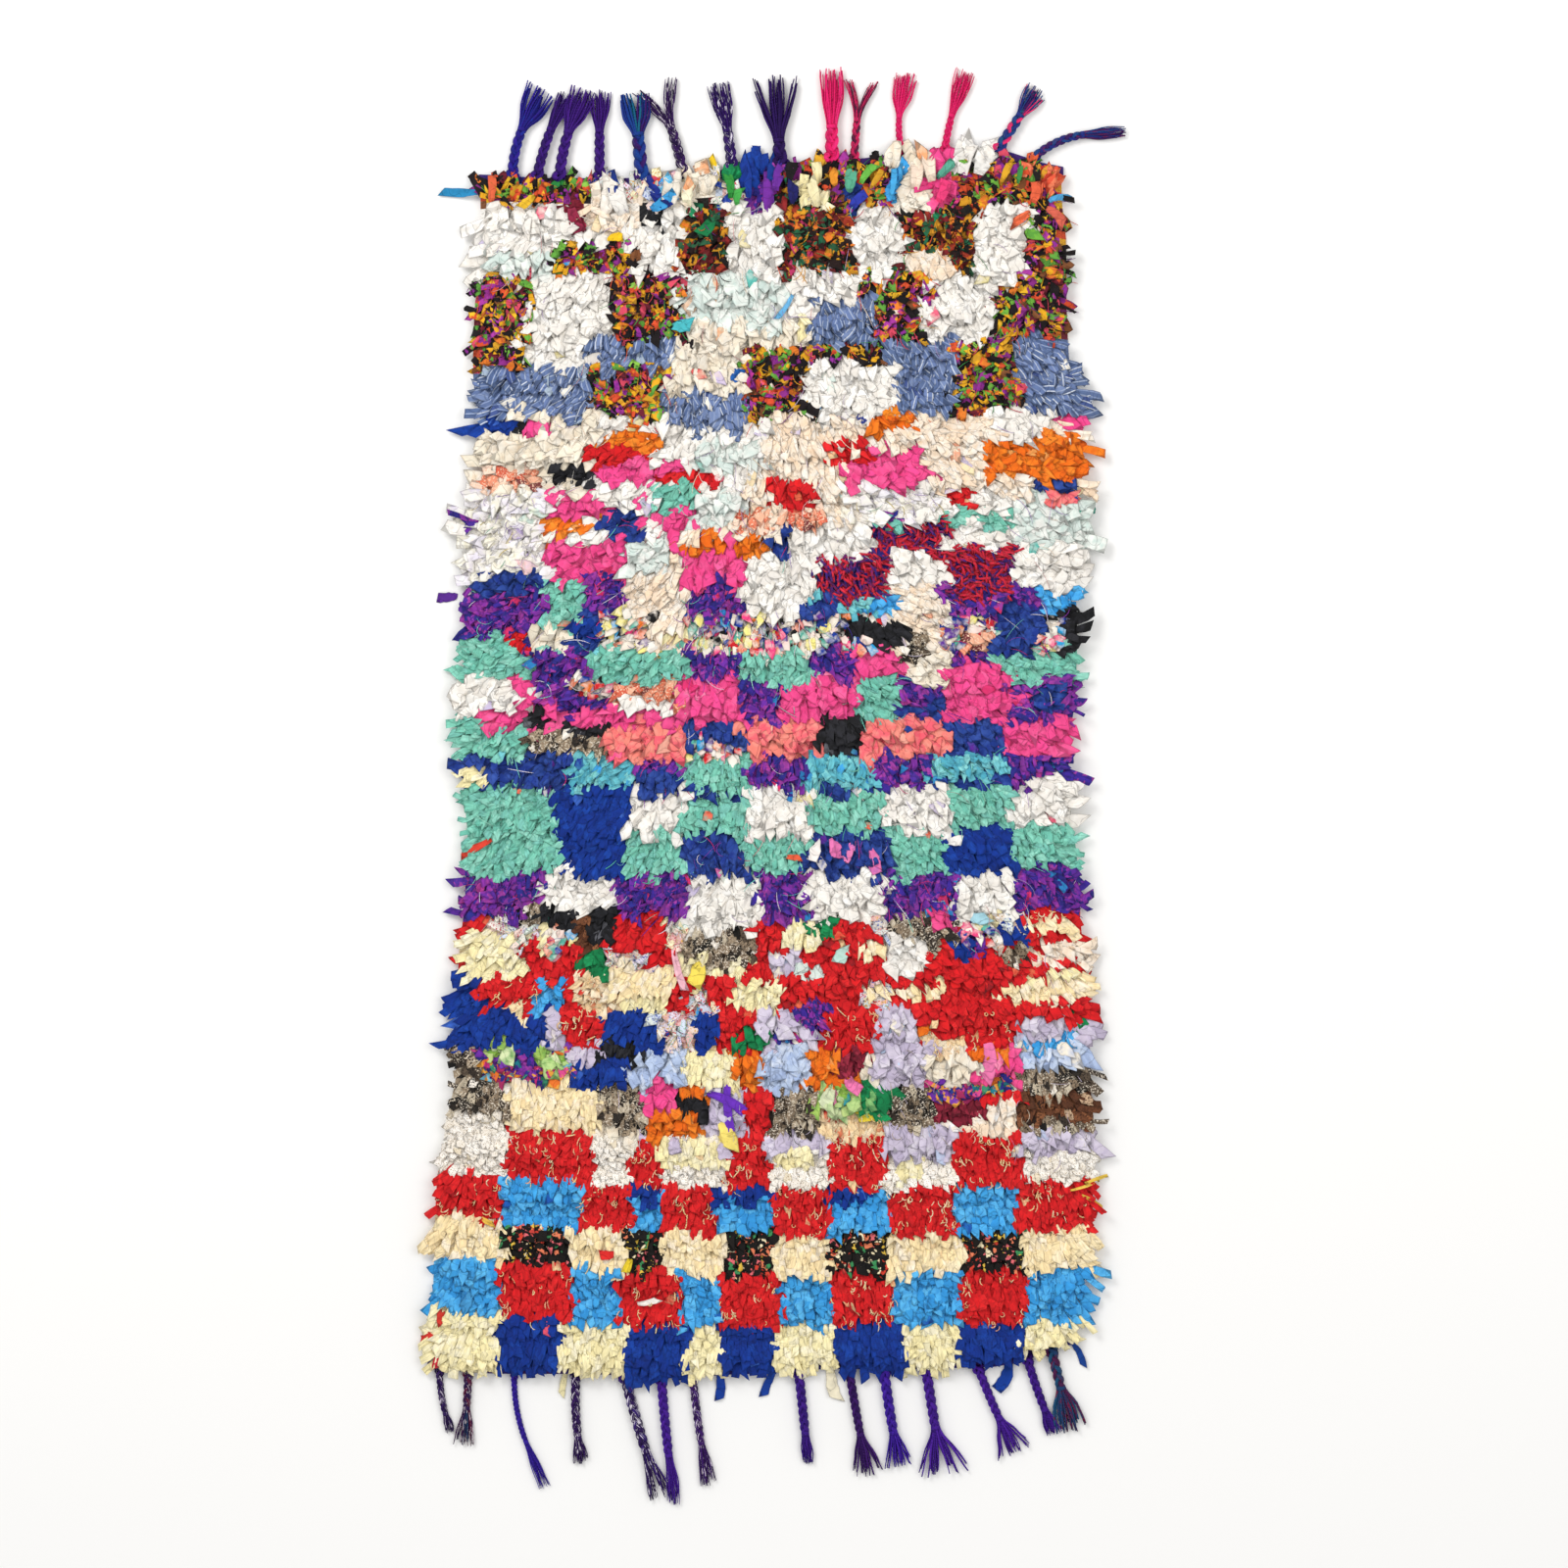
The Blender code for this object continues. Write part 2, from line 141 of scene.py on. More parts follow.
# The plan of the knotting. A weaver charts the blocks row by row from the head to the foot, in
# centimetres from the rug's middle, and the rows sag a little between the sides as they are beaten down.
# Each band is where it ends towards the foot, then its blocks from left to right, cloth and right edge.
BANDS = """
91: confetti -29, pastel -15, cream -8, pastel -3.5, purple 2, dark 5, lemon 10, confetti 20, cream 27,
    pink 30.5, confetti 43, ember 60;
80: white -30, burgundy -28.5, white -14, dark -6.5, white 2.5, dark 14.5, white 22.5, dark 35, white 42.5,
    confetti 60;
69: confetti -38, white -25, confetti -13, mint 3, white 15, confetti 26.5, white 37.5, confetti 60;
64.5: confetti -40, white -28.5, denim -15, cream -3, confetti 13, confetti 19, denim 31, confetti 42,
    denim 60;
56.5: denim -29, confetti -15, cream -4, confetti 9, white 21, denim 31, confetti 41.5, denim 60;
48: cream -28, white 0, peach 60;
44: cream -29, white -2, peach 60;
38: specked_white -34, white -12, mint -3, peach 17, white 40, mint 60;
29: specked_white -35, pink -22, peach -13, pink -3, white 8, yarn 20, white 29, yarn 41, white 60;
24.5: purple -36, teal -29, purple -23, peach -12, purple -2.5, white 7.5, turquoise 20, peach 28.5,
    purple 44, sky 60;
18.5: purple -37, teal -30, navy -26, scraps -18, peach -13, scraps 20, peach 28, scraps 60;
13.5: teal -38, purple -28, teal -12, purple -4, teal 8, purple 15, pink 24, cream 31.5, purple 36, teal 60;
7: white -37, purple -23, rust -14, pink -3, purple 3, pink 14.5, teal 21.5, purple 28, pink 39.5,
    purple 60;
1.3: teal -38, speckle -26, coral -14, navy -4, coral 8, black 16, coral 30, navy 39, pink 60;
-4: navy -32, turquoise -22, purple -14.5, teal -2, purple 6.5, turquoise 18, purple 27, turquoise 39,
    purple 60;
-11: teal -33, royal -22, white -13, teal -3, white 7.5, teal 19, white 30, teal 40, white 60;
-18: teal -33, royal -23.5, teal -13, navy -3, teal 7, navy 20, teal 29.5, royal 40.5, teal 60;
-25: purple -35.5, white -24, purple -13, white -1, purple 7, white 20, purple 31, white 40, purple 60;
-30: red -44, pastel -37, lemon -35, scraps -31, brown -26.8, pastel -24.5, red -16, pastel -12, speckle -2,
    red 4, lemon 9, red 18, pastel 20, speckle 32, scraps 38, pastel 42, red_fleck 60;
-35: red -49, lemon -39, red -29, green -25, pastel -19, red -12, lemon -3, red 60;
-40: royal -46, red_fleck -37, sky -33, red -31, cream_fleck -23, lemon -17, red -12, pastel -9, red -4,
    lemon 3, red 16, pastel 20, red 42, lemon 60;
-46.5: royal -35, lavender -33, red_fleck -27, royal -17.5, pastel -11, royal -8.5, red -1, lavender 8,
    red_fleck 18, lavender 24, red 42, lavender 60;
-53: speckle -46, jewel -32, royal -22, periwinkle -13, lemon -4, orange -1, periwinkle 7, orange 17,
    cream 19, lavender 27, cream 35, pink 41, periwinkle 60;
-61: speckle -42, butter -27, speckle -19, orange -9.5, lavender -3, red 0.5, speckle 8.5, cream_fleck 19.5,
    speckle 28.5, peach 41, brown 60;
-69: chenille -42, red_fleck -28, chenille -22, red_fleck -16.5, chenille -6, red_fleck 1, chenille 10.5,
    red_fleck 20, chenille 31, red_fleck 42, chenille 60;
-76.5: red_fleck -43, sky -30, red_fleck -21.5, sky -16.5, red_fleck -8, sky 1, red_fleck 11, sky 20,
    red_fleck 31, sky 41, red_fleck 60;
-83: butter -42.5, floral -31.5, butter -22.5, floral -16.5, butter -6, floral 1.5, butter 11, floral 20,
    butter 32, floral 42, butter 60;
-91.5: sky -43, red_fleck -31.5, sky -23.5, red_fleck -14, sky -7, red_fleck 3, sky 11, red_fleck 21, sky 32,
    red_fleck 42.5, sky 60;
-110: lemon -43, royal -33, lemon -22.5, royal -12.5, lemon -7, royal 2, lemon 11.5, royal 23, lemon 32,
    royal 42, lemon 60
"""

# Smaller blocks knotted into the bands: cloth, left and right edge, head and foot.
BLOCKS = """
burgundy -33 -28.5 92 87, confetti 4.5 10.5 108 96.4, white 31 38 106 97, sky 20 22.5 98 91.5,
green -6 -4 98 94, royal -4 -0.5 100 94, navy 13 16 94 89, peach -29 -20 93 87, black -21 -15 91 88,
confetti -35 -21 85 79.5, mint -45 -35 83 80, peach 23 30 83 80.5, lemon 6 12 73 69, cream -13 8 71.5 68,
denim 8 18 76 68, denim -17 -3 60.5 54.5, white 7 21 66 59, royal -46.5 -41 56.5 53, black -41 -39 55.5 54,
pink -39 -34 56 54, mint -11 -1 52.5 49, orange -27.5 -16.5 54.5 50.5,
red -28.5 -17.5 51 48.8, pink -28 -13 49 46.5, red -18 -8 48.5 45.5, orange 17.5 24 57.5 53.5,
pink 14 26 52 45, red 10 18 51.8 49.5, orange 35 53 53.5 46.3, pink 45 53 57 55.5, white 38 46 58 53,
rust -46 -36.5 48.5 44.5, black -34.5 -28 48 45, pink -35 -25.5 43.2 40.4, orange -37 -26 40.4 37.4,
pink -22.5 -20 43.5 40, pink -18 -12 41.5 36, teal -18.5 -11 45 41.5, red 1 7.5 46 42, rust -4 1 42 37.5,
rust 3 10 42 38.5, red 30 34 45 41.5, coral 45 51 45.2 42.3, navy 43.2 50.4 47 44.9, purple 18 24 41.5 39.5,
teal 28.5 41 41.5 39, teal 17.5 22 39.6 37.8, specked_white 12.5 29 45.4 40.6, mint 40 54 42 35.6,
white 5 19 39 34, yarn 22 30 39.4 34, yarn 18.4 30 38.2 34.4, white 30 40 39 35.3, yarn 8.5 19 34 26.6,
yarn 29.2 40.5 35.3 26.6, navy 6.7 11.4 26.8 23.7, sky 16.4 21 27.4 25, mint -22 -16 37 32,
white -32 -25.4 38.6 35.8, navy -26.4 -20.6 41.5 35.8, purple -51 -46.4 40.6 38.2, peach -14 1 37.6 36.6,
orange -14.3 -6.4 36.9 34.4, orange -4.6 0.8 37.4 34.3, navy 1 4.5 38 32.5, navy -47 -35 31 28,
teal -36 -28.5 30.5 22, purple -29 -23 31 25.5, black 49 52.5 25.5 18, navy 38 46 26 21,
black 13.4 22 23.4 19.6, speckle 22.6 27 21.2 17.6, navy 36.5 45 21 18, rust 33 36.6 22 17.4,
cream -37.5 -31.5 21.6 18.8, royal -31.3 -26.4 22.7 20, red -44 -38 21.5 18.5, lemon -15 -11 22 20.5,
teal -51 -41 21.5 13.5, white -22 -14 10.5 7, pink -46.5 -33 9 5.5, pink -34 -14 8.8 6,
pink -41 -37.5 13.7 10.6, scraps -30.5 -23.5 13.8 11.3, black -33.5 -25.5 7.2 4.2, black -39.5 -35.8 8 6,
scraps -14 -4 3.6 1.2, pink 28.5 39.5 15.6 8, navy 21.8 29.6 9.6 6.8, navy 42 48 12.5 9,
navy -22 -14.6 -2 -4, navy -13 -3.2 -4 -5.6, navy 7.6 18.7 -3.4 -5.2, white 44 54 -2.6 -4.4,
lemon -49 -45 -1.5 -4, navy 27 39 -2.8 -4.4, speckle -40 -36 -22.8 -25.6, lemon -30 -27.6 -23.4 -24.9,
black -36.3 -30 -23.4 -26.6, black -27.6 -24.4 -23.4 -27.8, white -13 -2 -25 -27.6,
speckle -12.6 -1.5 -27.6 -32.3, green 6.5 12 -25.4 -27, lavender 2 5.6 -30 -33.4, pink 28 31 -24.3 -26.8,
butter 15.5 19 -29.3 -31.6, lemon -49 -40 -27.5 -34, white 20 27 -29.5 -34, royal 30.6 33.3 -28.8 -32.6,
purple 33.3 36 -29 -32, royal 38.2 42 -26.4 -28.8, butter 44 51 -26 -28, butter -25.4 -15.4 -33 -37.4,
lemon -14.6 -9.4 -31 -35.6, mint 5 9 -31.5 -34.5, speckle 38 44 -30.4 -33.2, peach 44.5 54 -29.6 -33.4,
butter 38.5 54 -35.8 -39.4, red 42 54 -39.4 -42, green 50.2 54 -42 -44, butter 16.7 28 -36 -38,
red_fleck 33 40 -40.4 -45.4, orange 24.3 28 -43 -44.6, cream_fleck 26 33 -44.6 -47.8, purple 2 5 -43 -46.4,
orange 34.7 39 -46.6 -49, butter -41.5 -37 -40 -43, lavender -44 -33 -47.6 -49, lavender -32 -27 -46 -48.4,
purple 6 10 -38 -43, green -4 -0.5 -42.6 -45.6, black -27 -20 -45 -49, sky 43 50 -45 -47.5,
lime -45 -33 -46 -49.5, purple -41 -38 -46 -51, burgundy 11 17 -46.5 -50, lime 8.5 15.5 -52.5 -56.9,
green 15.5 20.4 -53 -57.4, green 20 23 -52 -54, jewel 27 39 -51.8 -56, burgundy 27 37 -55.5 -58.5,
red 35 42 -54 -56, black -15 -9 -54.5 -56.8, pink -20 -15 -51.5 -56.5, speckle 41 54 -50 -54.5,
speckle 40.5 56 -59.4 -60.8, lavender 41 56 -60.8 -64.5, chenille -56 -43 -59 -61.2,
royal -21.4 -16.8 -68.8 -71.4, royal -8.8 -5.4 -69.4 -71.8, royal -4.6 1 -68.8 -70.8, royal 10 17 -69 -71,
lavender 20 31 -59.5 -64.5, lemon 22 26 -64.5 -68, lavender 0 10 -60.5 -63, lemon -18 -6 -61.5 -65,
lemon 2 8 -62.5 -66, cream -29 -20 -60 -62
"""

PLAN_HEAD = 130
PLAN_LEFT = -90
JITTER_FOOT = 0.7
JITTER_HEAD = 1.3
JITTER_SIZE = 3.0
SAG_LEFT = 3.2
SAG_RIGHT = 1.5
HALF_WIDTH_CM = 55
CM = 0.01


def eased(low, high, value):
    """0 at low, 1 at high, and eased between."""
    share = np.clip((value - low) / (high - low), 0, 1)
    return share * share * (3 - 2 * share)


def wandering(x, y, size, seed):
    """Smooth noise of about one unit over a plan, the same for the same places."""
    places = zip(np.ravel(x) / size, np.ravel(y) / size)
    return np.array([noise.noise(Vector((u, v, seed))) for u, v in places]) * 1.6


def charted(x, y):
    """The name of the cloth that is charted at each place, x and y in metres."""
    x_cm, y_cm = x / CM, y / CM
    sag_left = SAG_LEFT * eased(-38, -62, y_cm) * (x_cm < 0)
    sag_right = SAG_RIGHT * eased(12, -10, y_cm) * (x_cm > 0)
    y_cm = y_cm - (sag_left + sag_right) * (x_cm / HALF_WIDTH_CM) ** 2
    jitter = JITTER_FOOT + (JITTER_HEAD - JITTER_FOOT) * eased(-60, -48, y_cm)
    x_cm = x_cm + jitter * wandering(x_cm, y_cm, JITTER_SIZE, 3.7)
    y_cm = y_cm + jitter * wandering(x_cm, y_cm, JITTER_SIZE, 9.2)
    cloth = np.full(x.shape, "white", dtype="<U16")
    head = PLAN_HEAD
    for band in BANDS.split(";"):
        foot, blocks = band.split(":")
        foot, left = float(foot), PLAN_LEFT
        for block in blocks.split(","):
            name, edge = block.split()
            right = float(edge)
            cloth[(y_cm <= head) & (y_cm > foot) & (x_cm > left) & (x_cm <= right)] = name
            left = right
        head = foot
    for block in BLOCKS.split(","):
        name, *edges = block.split()
        left, right, head, foot = map(float, edges)
        cloth[(x_cm > left) & (x_cm < right) & (y_cm < head) & (y_cm > foot)] = name
    return cloth


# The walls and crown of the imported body, which the ground, the knots and the bands are set out from.
WALL_HEIGHT = 0.009
END_WALL_HEIGHT = 0.0025
GROUND_INSET = 0.004
STATIONS = 81
SIDE_SPAN = (-0.93, 0.95)
CORNER = 0.001
RIM_CROWN = 0.013
FULL_CROWN = 0.024

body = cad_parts["rug_body"].data
body_tree = BVHTree.FromPolygons([v.co for v in body.vertices], [tuple(p.vertices) for p in body.polygons])
body_low, body_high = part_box("rug_body")
stations_y = np.linspace(*SIDE_SPAN, STATIONS)


def wall_at(start, direction, axis):
    """Where a line from outside meets the body's wall."""
    return body_tree.ray_cast(Vector(start), Vector(direction))[0][axis]


left_wall = np.array([wall_at((-1, y, WALL_HEIGHT), (1, 0, 0), 0) for y in stations_y])
right_wall = np.array([wall_at((1, y, WALL_HEIGHT), (-1, 0, 0), 0) for y in stations_y])
foot_x = np.linspace(left_wall[0] + CORNER, right_wall[0] - CORNER, STATIONS)
head_x = np.linspace(left_wall[-1] + CORNER, right_wall[-1] - CORNER, STATIONS)
foot_wall = np.array([wall_at((x, -2, END_WALL_HEIGHT), (0, 1, 0), 1) for x in foot_x])
head_wall = np.array([wall_at((x, 2, END_WALL_HEIGHT), (0, -1, 0), 1) for x in head_x])


def wall_distances(x, y):
    """How far each place is from the body's left, right, foot and head walls."""
    left, right = np.interp(y, stations_y, left_wall), np.interp(y, stations_y, right_wall)
    return x - left, right - x, y - np.interp(x, foot_x, foot_wall), np.interp(x, head_x, head_wall) - y


def crown_at(x, y):
    """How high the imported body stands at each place."""
    hits = [body_tree.ray_cast(Vector((u, v, 1)), Vector((0, 0, -1)))[0] for u, v in zip(x, y)]
    return np.array([RIM_CROWN if hit is None else max(hit.z, RIM_CROWN) for hit in hits])


# The ground: a plain weave of ecru wool warp and weft, which carries the knots. Their roots are beaten
# down so tight that they make a lumpy mat on it, which closes every gap between the tails. Seen from
# below, the back of each knot shows as a dash of its cloth's colour between the rows of weft.
GROUND_THICKNESS = 0.002
GROUND_COLUMNS = 84
GROUND_ROWS = 150
MAT_SHARE = 0.72
MAT_LUMP = 0.0014
MAT_LUMP_SIZE = 0.014
MAT_BORDER = 0.02
WEFT_PITCH = 0.0042
KNOT_PITCH = 0.0105
ECRU = "cdbfa6"
ODD_CLUSTER = 0.022


class Cloth(NamedTuple):
    """A cloth of the pile: its cut, its rags' colours and marks, the odd rags knotted in, and its print."""

    cut: str
    colours: str
    marks: str
    odd: str
    odd_share: float
    print: str = "faded"
    nap: float = 0.05


CLOTHS = {
    "white": Cloth("rag", "f6f2eb f3eee6 f8f5f0 efe9e1 f5f0e8", "e4dcd0", "c9bcdc e2607a eadb9a d5e3da",
        0.02, "faded", 0.1),
    "specked_white": Cloth("rag", "f4efe6 f6f2ea f1ece1 f0ecee", "d8cee2 e3dcbc e0d6ce",
        "cfe0d6 d8c890 c0aed4 f2c8c4", 0.09, "faded", 0.1),
    "mint": Cloth("rag", "dfe6de e5eae2 d5e0d9 ecebe4 e9ebe4", "bfd3cb", "9fd0c2 58b4a8 e8c0a0", 0.05,
        "faded", 0.1),
    "cream": Cloth("rag", "f3e9d6 efe6d6 f5ecdc ece2cd", "e4d0b4", "e8a070 cdbde0 dfe9e0 e05a5a", 0.03,
        "faded", 0.1),
    "peach": Cloth("gauze", "f6e4ce f4dcc2 f8ead8 f1e5d5 f3ebdf", "eaccaa", "f0a888 ffffff d4c8e0 ecd9ae",
        0.06, "faded", 0.12),
    "lemon": Cloth("fold", "f7ebb9 f7edc4 f5e7b0 f6edcd", "efe0a6", "e0342c f0d0a0", 0.006),
    "butter": Cloth("fold", "f9e4b6 fae8c2 f7deac f8e9cf", "f0d8a2", "e07a5a f0d0a0", 0.012),
    "confetti": Cloth("scrap",
        "181214 1d1518 141012 181214 e6a81f e9b62a d9a02a e07a2a d8502c 8a2c84 a8389c 5f9c3c 6fae3e 6a1c2c "
        "d84a62 7a4a2a",
        "1a1214 e8a820 1a1214 8a2a8f 1a1214 d8502c 5a9a3a", "3f9fde f2e4d2 f0607a 8ac04a", 0.03, "blotches",
        0.03),
    "dark": Cloth("scrap", "15110f 241412 5e1a1c 8a2424 1c1a16 c98a20 2a5a3c 9a3420",
        "d89a24 7a1f24 151210 e07a28 1f6a48", "1f8a5a c23a6a", 0.05, "blotches", 0.03),
    "jewel": Cloth("scrap", "6a2a9c c02a7a 1f7a8a e0702a 2a3f94 a02a5a 3a8a6a 7a3aa8 d84a8a",
        "e8a040 2a2a80", "f0c8a0 7ac0d8", 0.1, "blotches", 0.03),
    "ember": Cloth("scrap", "e4573a e86a48 d8442e e06038 c83a2a 1a1412 d89a2a 5f9c3c 8a2c84",
        "f0805a 1a1412", "52a8dc f07ab0", 0.04, "blotches", 0.03),
    "scraps": Cloth("tab",
        "f2e4d2 ece6dd f2e488 ee4480 d4222a 1c3a94 151515 f08a6a 5fb4a0 efd2c8 5a2a8e f3ecdf 1c3a94",
        "efe6da", "2a9ad0 e0702a", 0.06, "faded", 0.03),
    "pastel": Cloth("scrap", "efe6dc f0d8cc e2d8e4 dfe6e0 f3e9c0 e6b8b4 cfd8e8 e9e2d8",
        "c8505a 5a6ab0 d8a858 8fb49c", "3f9fde d23a5a 1c3a94", 0.1, "specks"),
    "denim": Cloth("strip", "61749f 6a7daa 566a94 7486ae 5c6f96", "9aa8c4 a9b5cc 8d9cbe cdd3de",
        "ece6da 43558c a8b8c8", 0.07, "stripes", 0.08),
    "pink": Cloth("rag", "f34c92 f15290 f45e98 ee4a8c", "de387a", "f78ab0 d8306a", 0.03, "faded", 0.08),
    "coral": Cloth("rag", "f37270 f36973 f18274 ee5e6e", "f39c8c", "fbb6a0 f0508a", 0.06, "faded", 0.08),
    "orange": Cloth("strip", "ee7214 f07f1c ec6c12 f58a28", "dd5c0e", "f8b060", 0.03, "faded", 0.08),
    "red": Cloth("tab", "e01d20 da181f e6282a d01a20", "c0121a", "e86a4a 8a1a20 f0cf9c", 0.04, "faded",
        0.04),
    "red_fleck": Cloth("shred", "dc1c20 d6191e e22426 d01a1e", "c4141a", "f3d6a0 f0c890 b8141c e8a078",
        0.03, "faded", 0.1),
    "cream_fleck": Cloth("shred", "f2dcb4 f0d4a6 f4e4c6", "e8c090", "d83a30 e07a58", 0.25),
    "burgundy": Cloth("tab", "8a1f36 7c1a2e a02a40", "601424", "c23a5a", 0.05),
    "teal": Cloth("shred", "7bc7b0 86cfb9 6fbfaa 93d5c1 7ec7b8", "67b29d", "7ad0d8 e86a50 9adcc8", 0.02,
        "faded", 0.2),
    "turquoise": Cloth("shred", "66bcc8 74c6cc 52acc0 84d0d0", "4aa2b8", "3a9ad8 1c3a94", 0.12, "faded",
        0.2),
    "sky": Cloth("tab", "3fa2e0 4fafea 3497da 5cb8ec", "2f88cc", "1c58b0", 0.01),
    "royal": Cloth("fold", "0b338e 0d3792 0a2e85 123f9c", "092874", "3a66c4", 0.02),
    "navy": Cloth("strip", "15317f 1a3488 102a70 22408f", "3a58a8", "5a2494 f07ab8 e8e0d8", 0.04, "faded",
        0.06),
    "black": Cloth("strip", "141416 1b1b1e 101012 26262a", "2e2e34", "6a6a70", 0.04),
    "purple": Cloth("shag", "54248e 6a2a9c 3a2490 872e9e 2c2a86 7a2c98 4a2a92 7a2f8e", "2a2278 9a3a9a",
        "d8306a b03a92 2a7ab8", 0.1, "blotches", 0.1),
    "yarn": Cloth("yarn", "d6213c d6213c cf1e3a dc2c40 2e1a74 281668 34207c", "b01a32", "8a1a50", 0.03,
        "faded", 0.1),
    "speckle": Cloth("shred", "5a4c3e 7d6c58 a39078 3a3028 8f7c66 c2b49c 2c2620", "ded2c0 1a1612 d8cbb6",
        "f0e8dc 100e0c", 0.12, "specks", 0.1),
    "brown": Cloth("shred", "7a4a2e 6a3e26 8a5636 5a3420", "4a2a1a", "c8a888 2a1a12", 0.1, "specks", 0.1),
    "lavender": Cloth("rag", "cbbfd2 d4cadb c0b4ca dcd4e0", "b4a8c2", "f3e9d6 bccce6", 0.1),
    "periwinkle": Cloth("rag", "bccce6 c8d5ea aebfdf d5deee", "9db0d6", "f3e9d6", 0.05),
    "chenille": Cloth("nub", "f6efe5 f3ebdf f9f3ea f1e8da", "a8906c", "f0e2c8", 0.06, "dots", 0.1),
    "floral": Cloth("tab", "14110f 181412 12100e 16120e 1a1512 100e0d",
        "d0402e e8c04a 3c8a54 f0e0b8 e8805a e06a70 14110f 181412", "c8423a e8c04a e8a080", 0.05, "flowers",
        0.03),
    "green": Cloth("rag", "148a50 1c9a5a 0f7a46", "0c6a3c", "8fc87a", 0.1),
    "lime": Cloth("rag", "8fb84a a8c860 b8d488 c4d888 d8e4b0", "5a9a4a", "f0d84a f07ab0 2f8f9a", 0.15),
    "rust": Cloth("strip", "e07a5a e89070 f0b090 d8644a f3d6c0", "f2c8ac", "f3e9d6 7a3a3a", 0.12, "specks",
        0.08),
}


def random_colours(chance, codes, count, spread):
    """A colour for each of count rags, from codes in hex, each a little lighter or darker."""
    palette = np.array([linear(code) for code in codes.split()])
    picked = palette[chance.integers(0, len(palette), count)]
    picked = picked * chance.uniform(1 - spread, 1 + spread, (count, 1))
    return np.clip(np.hstack((picked, np.ones((count, 1)))), 0, 1)


def rag_colours(chance, cloth, x, y):
    """A colour for each rag of a cloth, with odd rags that tend to fall together."""
    colours = random_colours(chance, cloth.colours, x.size, 0.06)
    together = np.clip(0.4 + 2.2 * wandering(x, y, ODD_CLUSTER, 1.3), 0, 3)
    odd = chance.random(x.size) < cloth.odd_share * together
    colours[odd] = random_colours(chance, cloth.odd, int(odd.sum()), 0.08)
    return colours


def outline_point(across, along):
    """A place on the ground, across and along from -1 to 1, inside the body's walls."""
    y_guess = (body_low.y + body_high.y) / 2 + along * 0.98
    left = np.interp(y_guess, stations_y, left_wall) + GROUND_INSET
    right = np.interp(y_guess, stations_y, right_wall) - GROUND_INSET
    x = left + (right - left) * (across + 1) / 2
    foot = np.interp(x, foot_x, foot_wall) + GROUND_INSET
    head = np.interp(x, head_x, head_wall) - GROUND_INSET
    return x, foot + (head - foot) * (along + 1) / 2


ground_cloth, tree, shader = new_material("ecru_weave_and_packed_knots", 0.95)
place = add_node(tree, "TexCoord").outputs["Object"]
apart = add_node(tree, "SeparateXYZ", None, {"Vector": place})
waves = []
for axis, pitch in (("X", KNOT_PITCH), ("Y", 2 * WEFT_PITCH)):
    around = {"operation": "MULTIPLY", 1: 2 * math.pi / pitch}
    turned = add_node(tree, "Math", around, {0: apart.outputs[axis]})
    waves.append(add_node(tree, "Math", {"operation": "SINE"}, {0: turned}))
woven = add_node(tree, "Math", {"operation": "MULTIPLY"}, {0: waves[0], 1: waves[1]})
dashes = add_node(tree, "MapRange", {"From Max": 0.35}, {"Value": woven})
from_weave = {"From Min": GROUND_THICKNESS * 0.3, "From Max": GROUND_THICKNESS * 0.9}
above = add_node(tree, "MapRange", from_weave, {"Value": apart.outputs["Z"]})
knot_shows = add_node(tree, "Math", {"operation": "MAXIMUM"}, {0: dashes, 1: above})
knot_colour = add_node(tree, "Attribute", {"attribute_name": "knot_colour"})
ecru = {"data_type": "RGBA", 6: (*linear(ECRU), 1)}
mixed = add_node(tree, "Mix", ecru, {0: knot_shows, 7: knot_colour})
tree.links.new(mixed.outputs[2], shader.inputs["Base Color"])
bump = add_node(tree, "Bump", {"Strength": 0.8, "Distance": 0.002}, {"Height": woven})
tree.links.new(bump.outputs["Normal"], shader.inputs["Normal"])

bm = bmesh.new()
bmesh.ops.create_grid(bm, x_segments=GROUND_COLUMNS, y_segments=GROUND_ROWS, size=1)
for vert in bm.verts:
    x, y = outline_point(vert.co.x, vert.co.y)
    vert.co = (x, y, 0)
bmesh.ops.solidify(bm, geom=bm.faces[:], thickness=GROUND_THICKNESS)
middle = sum(vert.co.z for vert in bm.verts) / len(bm.verts)
upper = [vert for vert in bm.verts if vert.co.z > middle]
upper_x = np.array([vert.co.x for vert in upper])
upper_y = np.array([vert.co.y for vert in upper])
inland = eased(GROUND_INSET, MAT_BORDER, np.minimum.reduce(wall_distances(upper_x, upper_y)))
mat = MAT_SHARE * crown_at(upper_x, upper_y) + MAT_LUMP * wandering(upper_x, upper_y, MAT_LUMP_SIZE, 5.5)
heights = GROUND_THICKNESS + inland * (mat - GROUND_THICKNESS)
for vert in bm.verts:
    vert.co.z = 0
for vert, height in zip(upper, heights):
    vert.co.z = height
bmesh.ops.recalc_face_normals(bm, faces=bm.faces)
ground = piece_from(bm, "woven_ground", ground_cloth)
chance = np.random.default_rng(5)
middles = np.array([polygon.center for polygon in ground.data.polygons])
knot_cloth = charted(middles[:, 0], middles[:, 1])
knot_colours = np.ones((len(middles), 4))
for name, cloth in CLOTHS.items():
    chosen = knot_cloth == name
    knot_colours[chosen] = random_colours(chance, cloth.colours, int(chosen.sum()), 0.08)
layer = ground.data.attributes.new("knot_colour", "FLOAT_COLOR", "FACE")
layer.data.foreach_set("color", knot_colours.ravel())
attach(ground, "root")
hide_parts("rug_body")


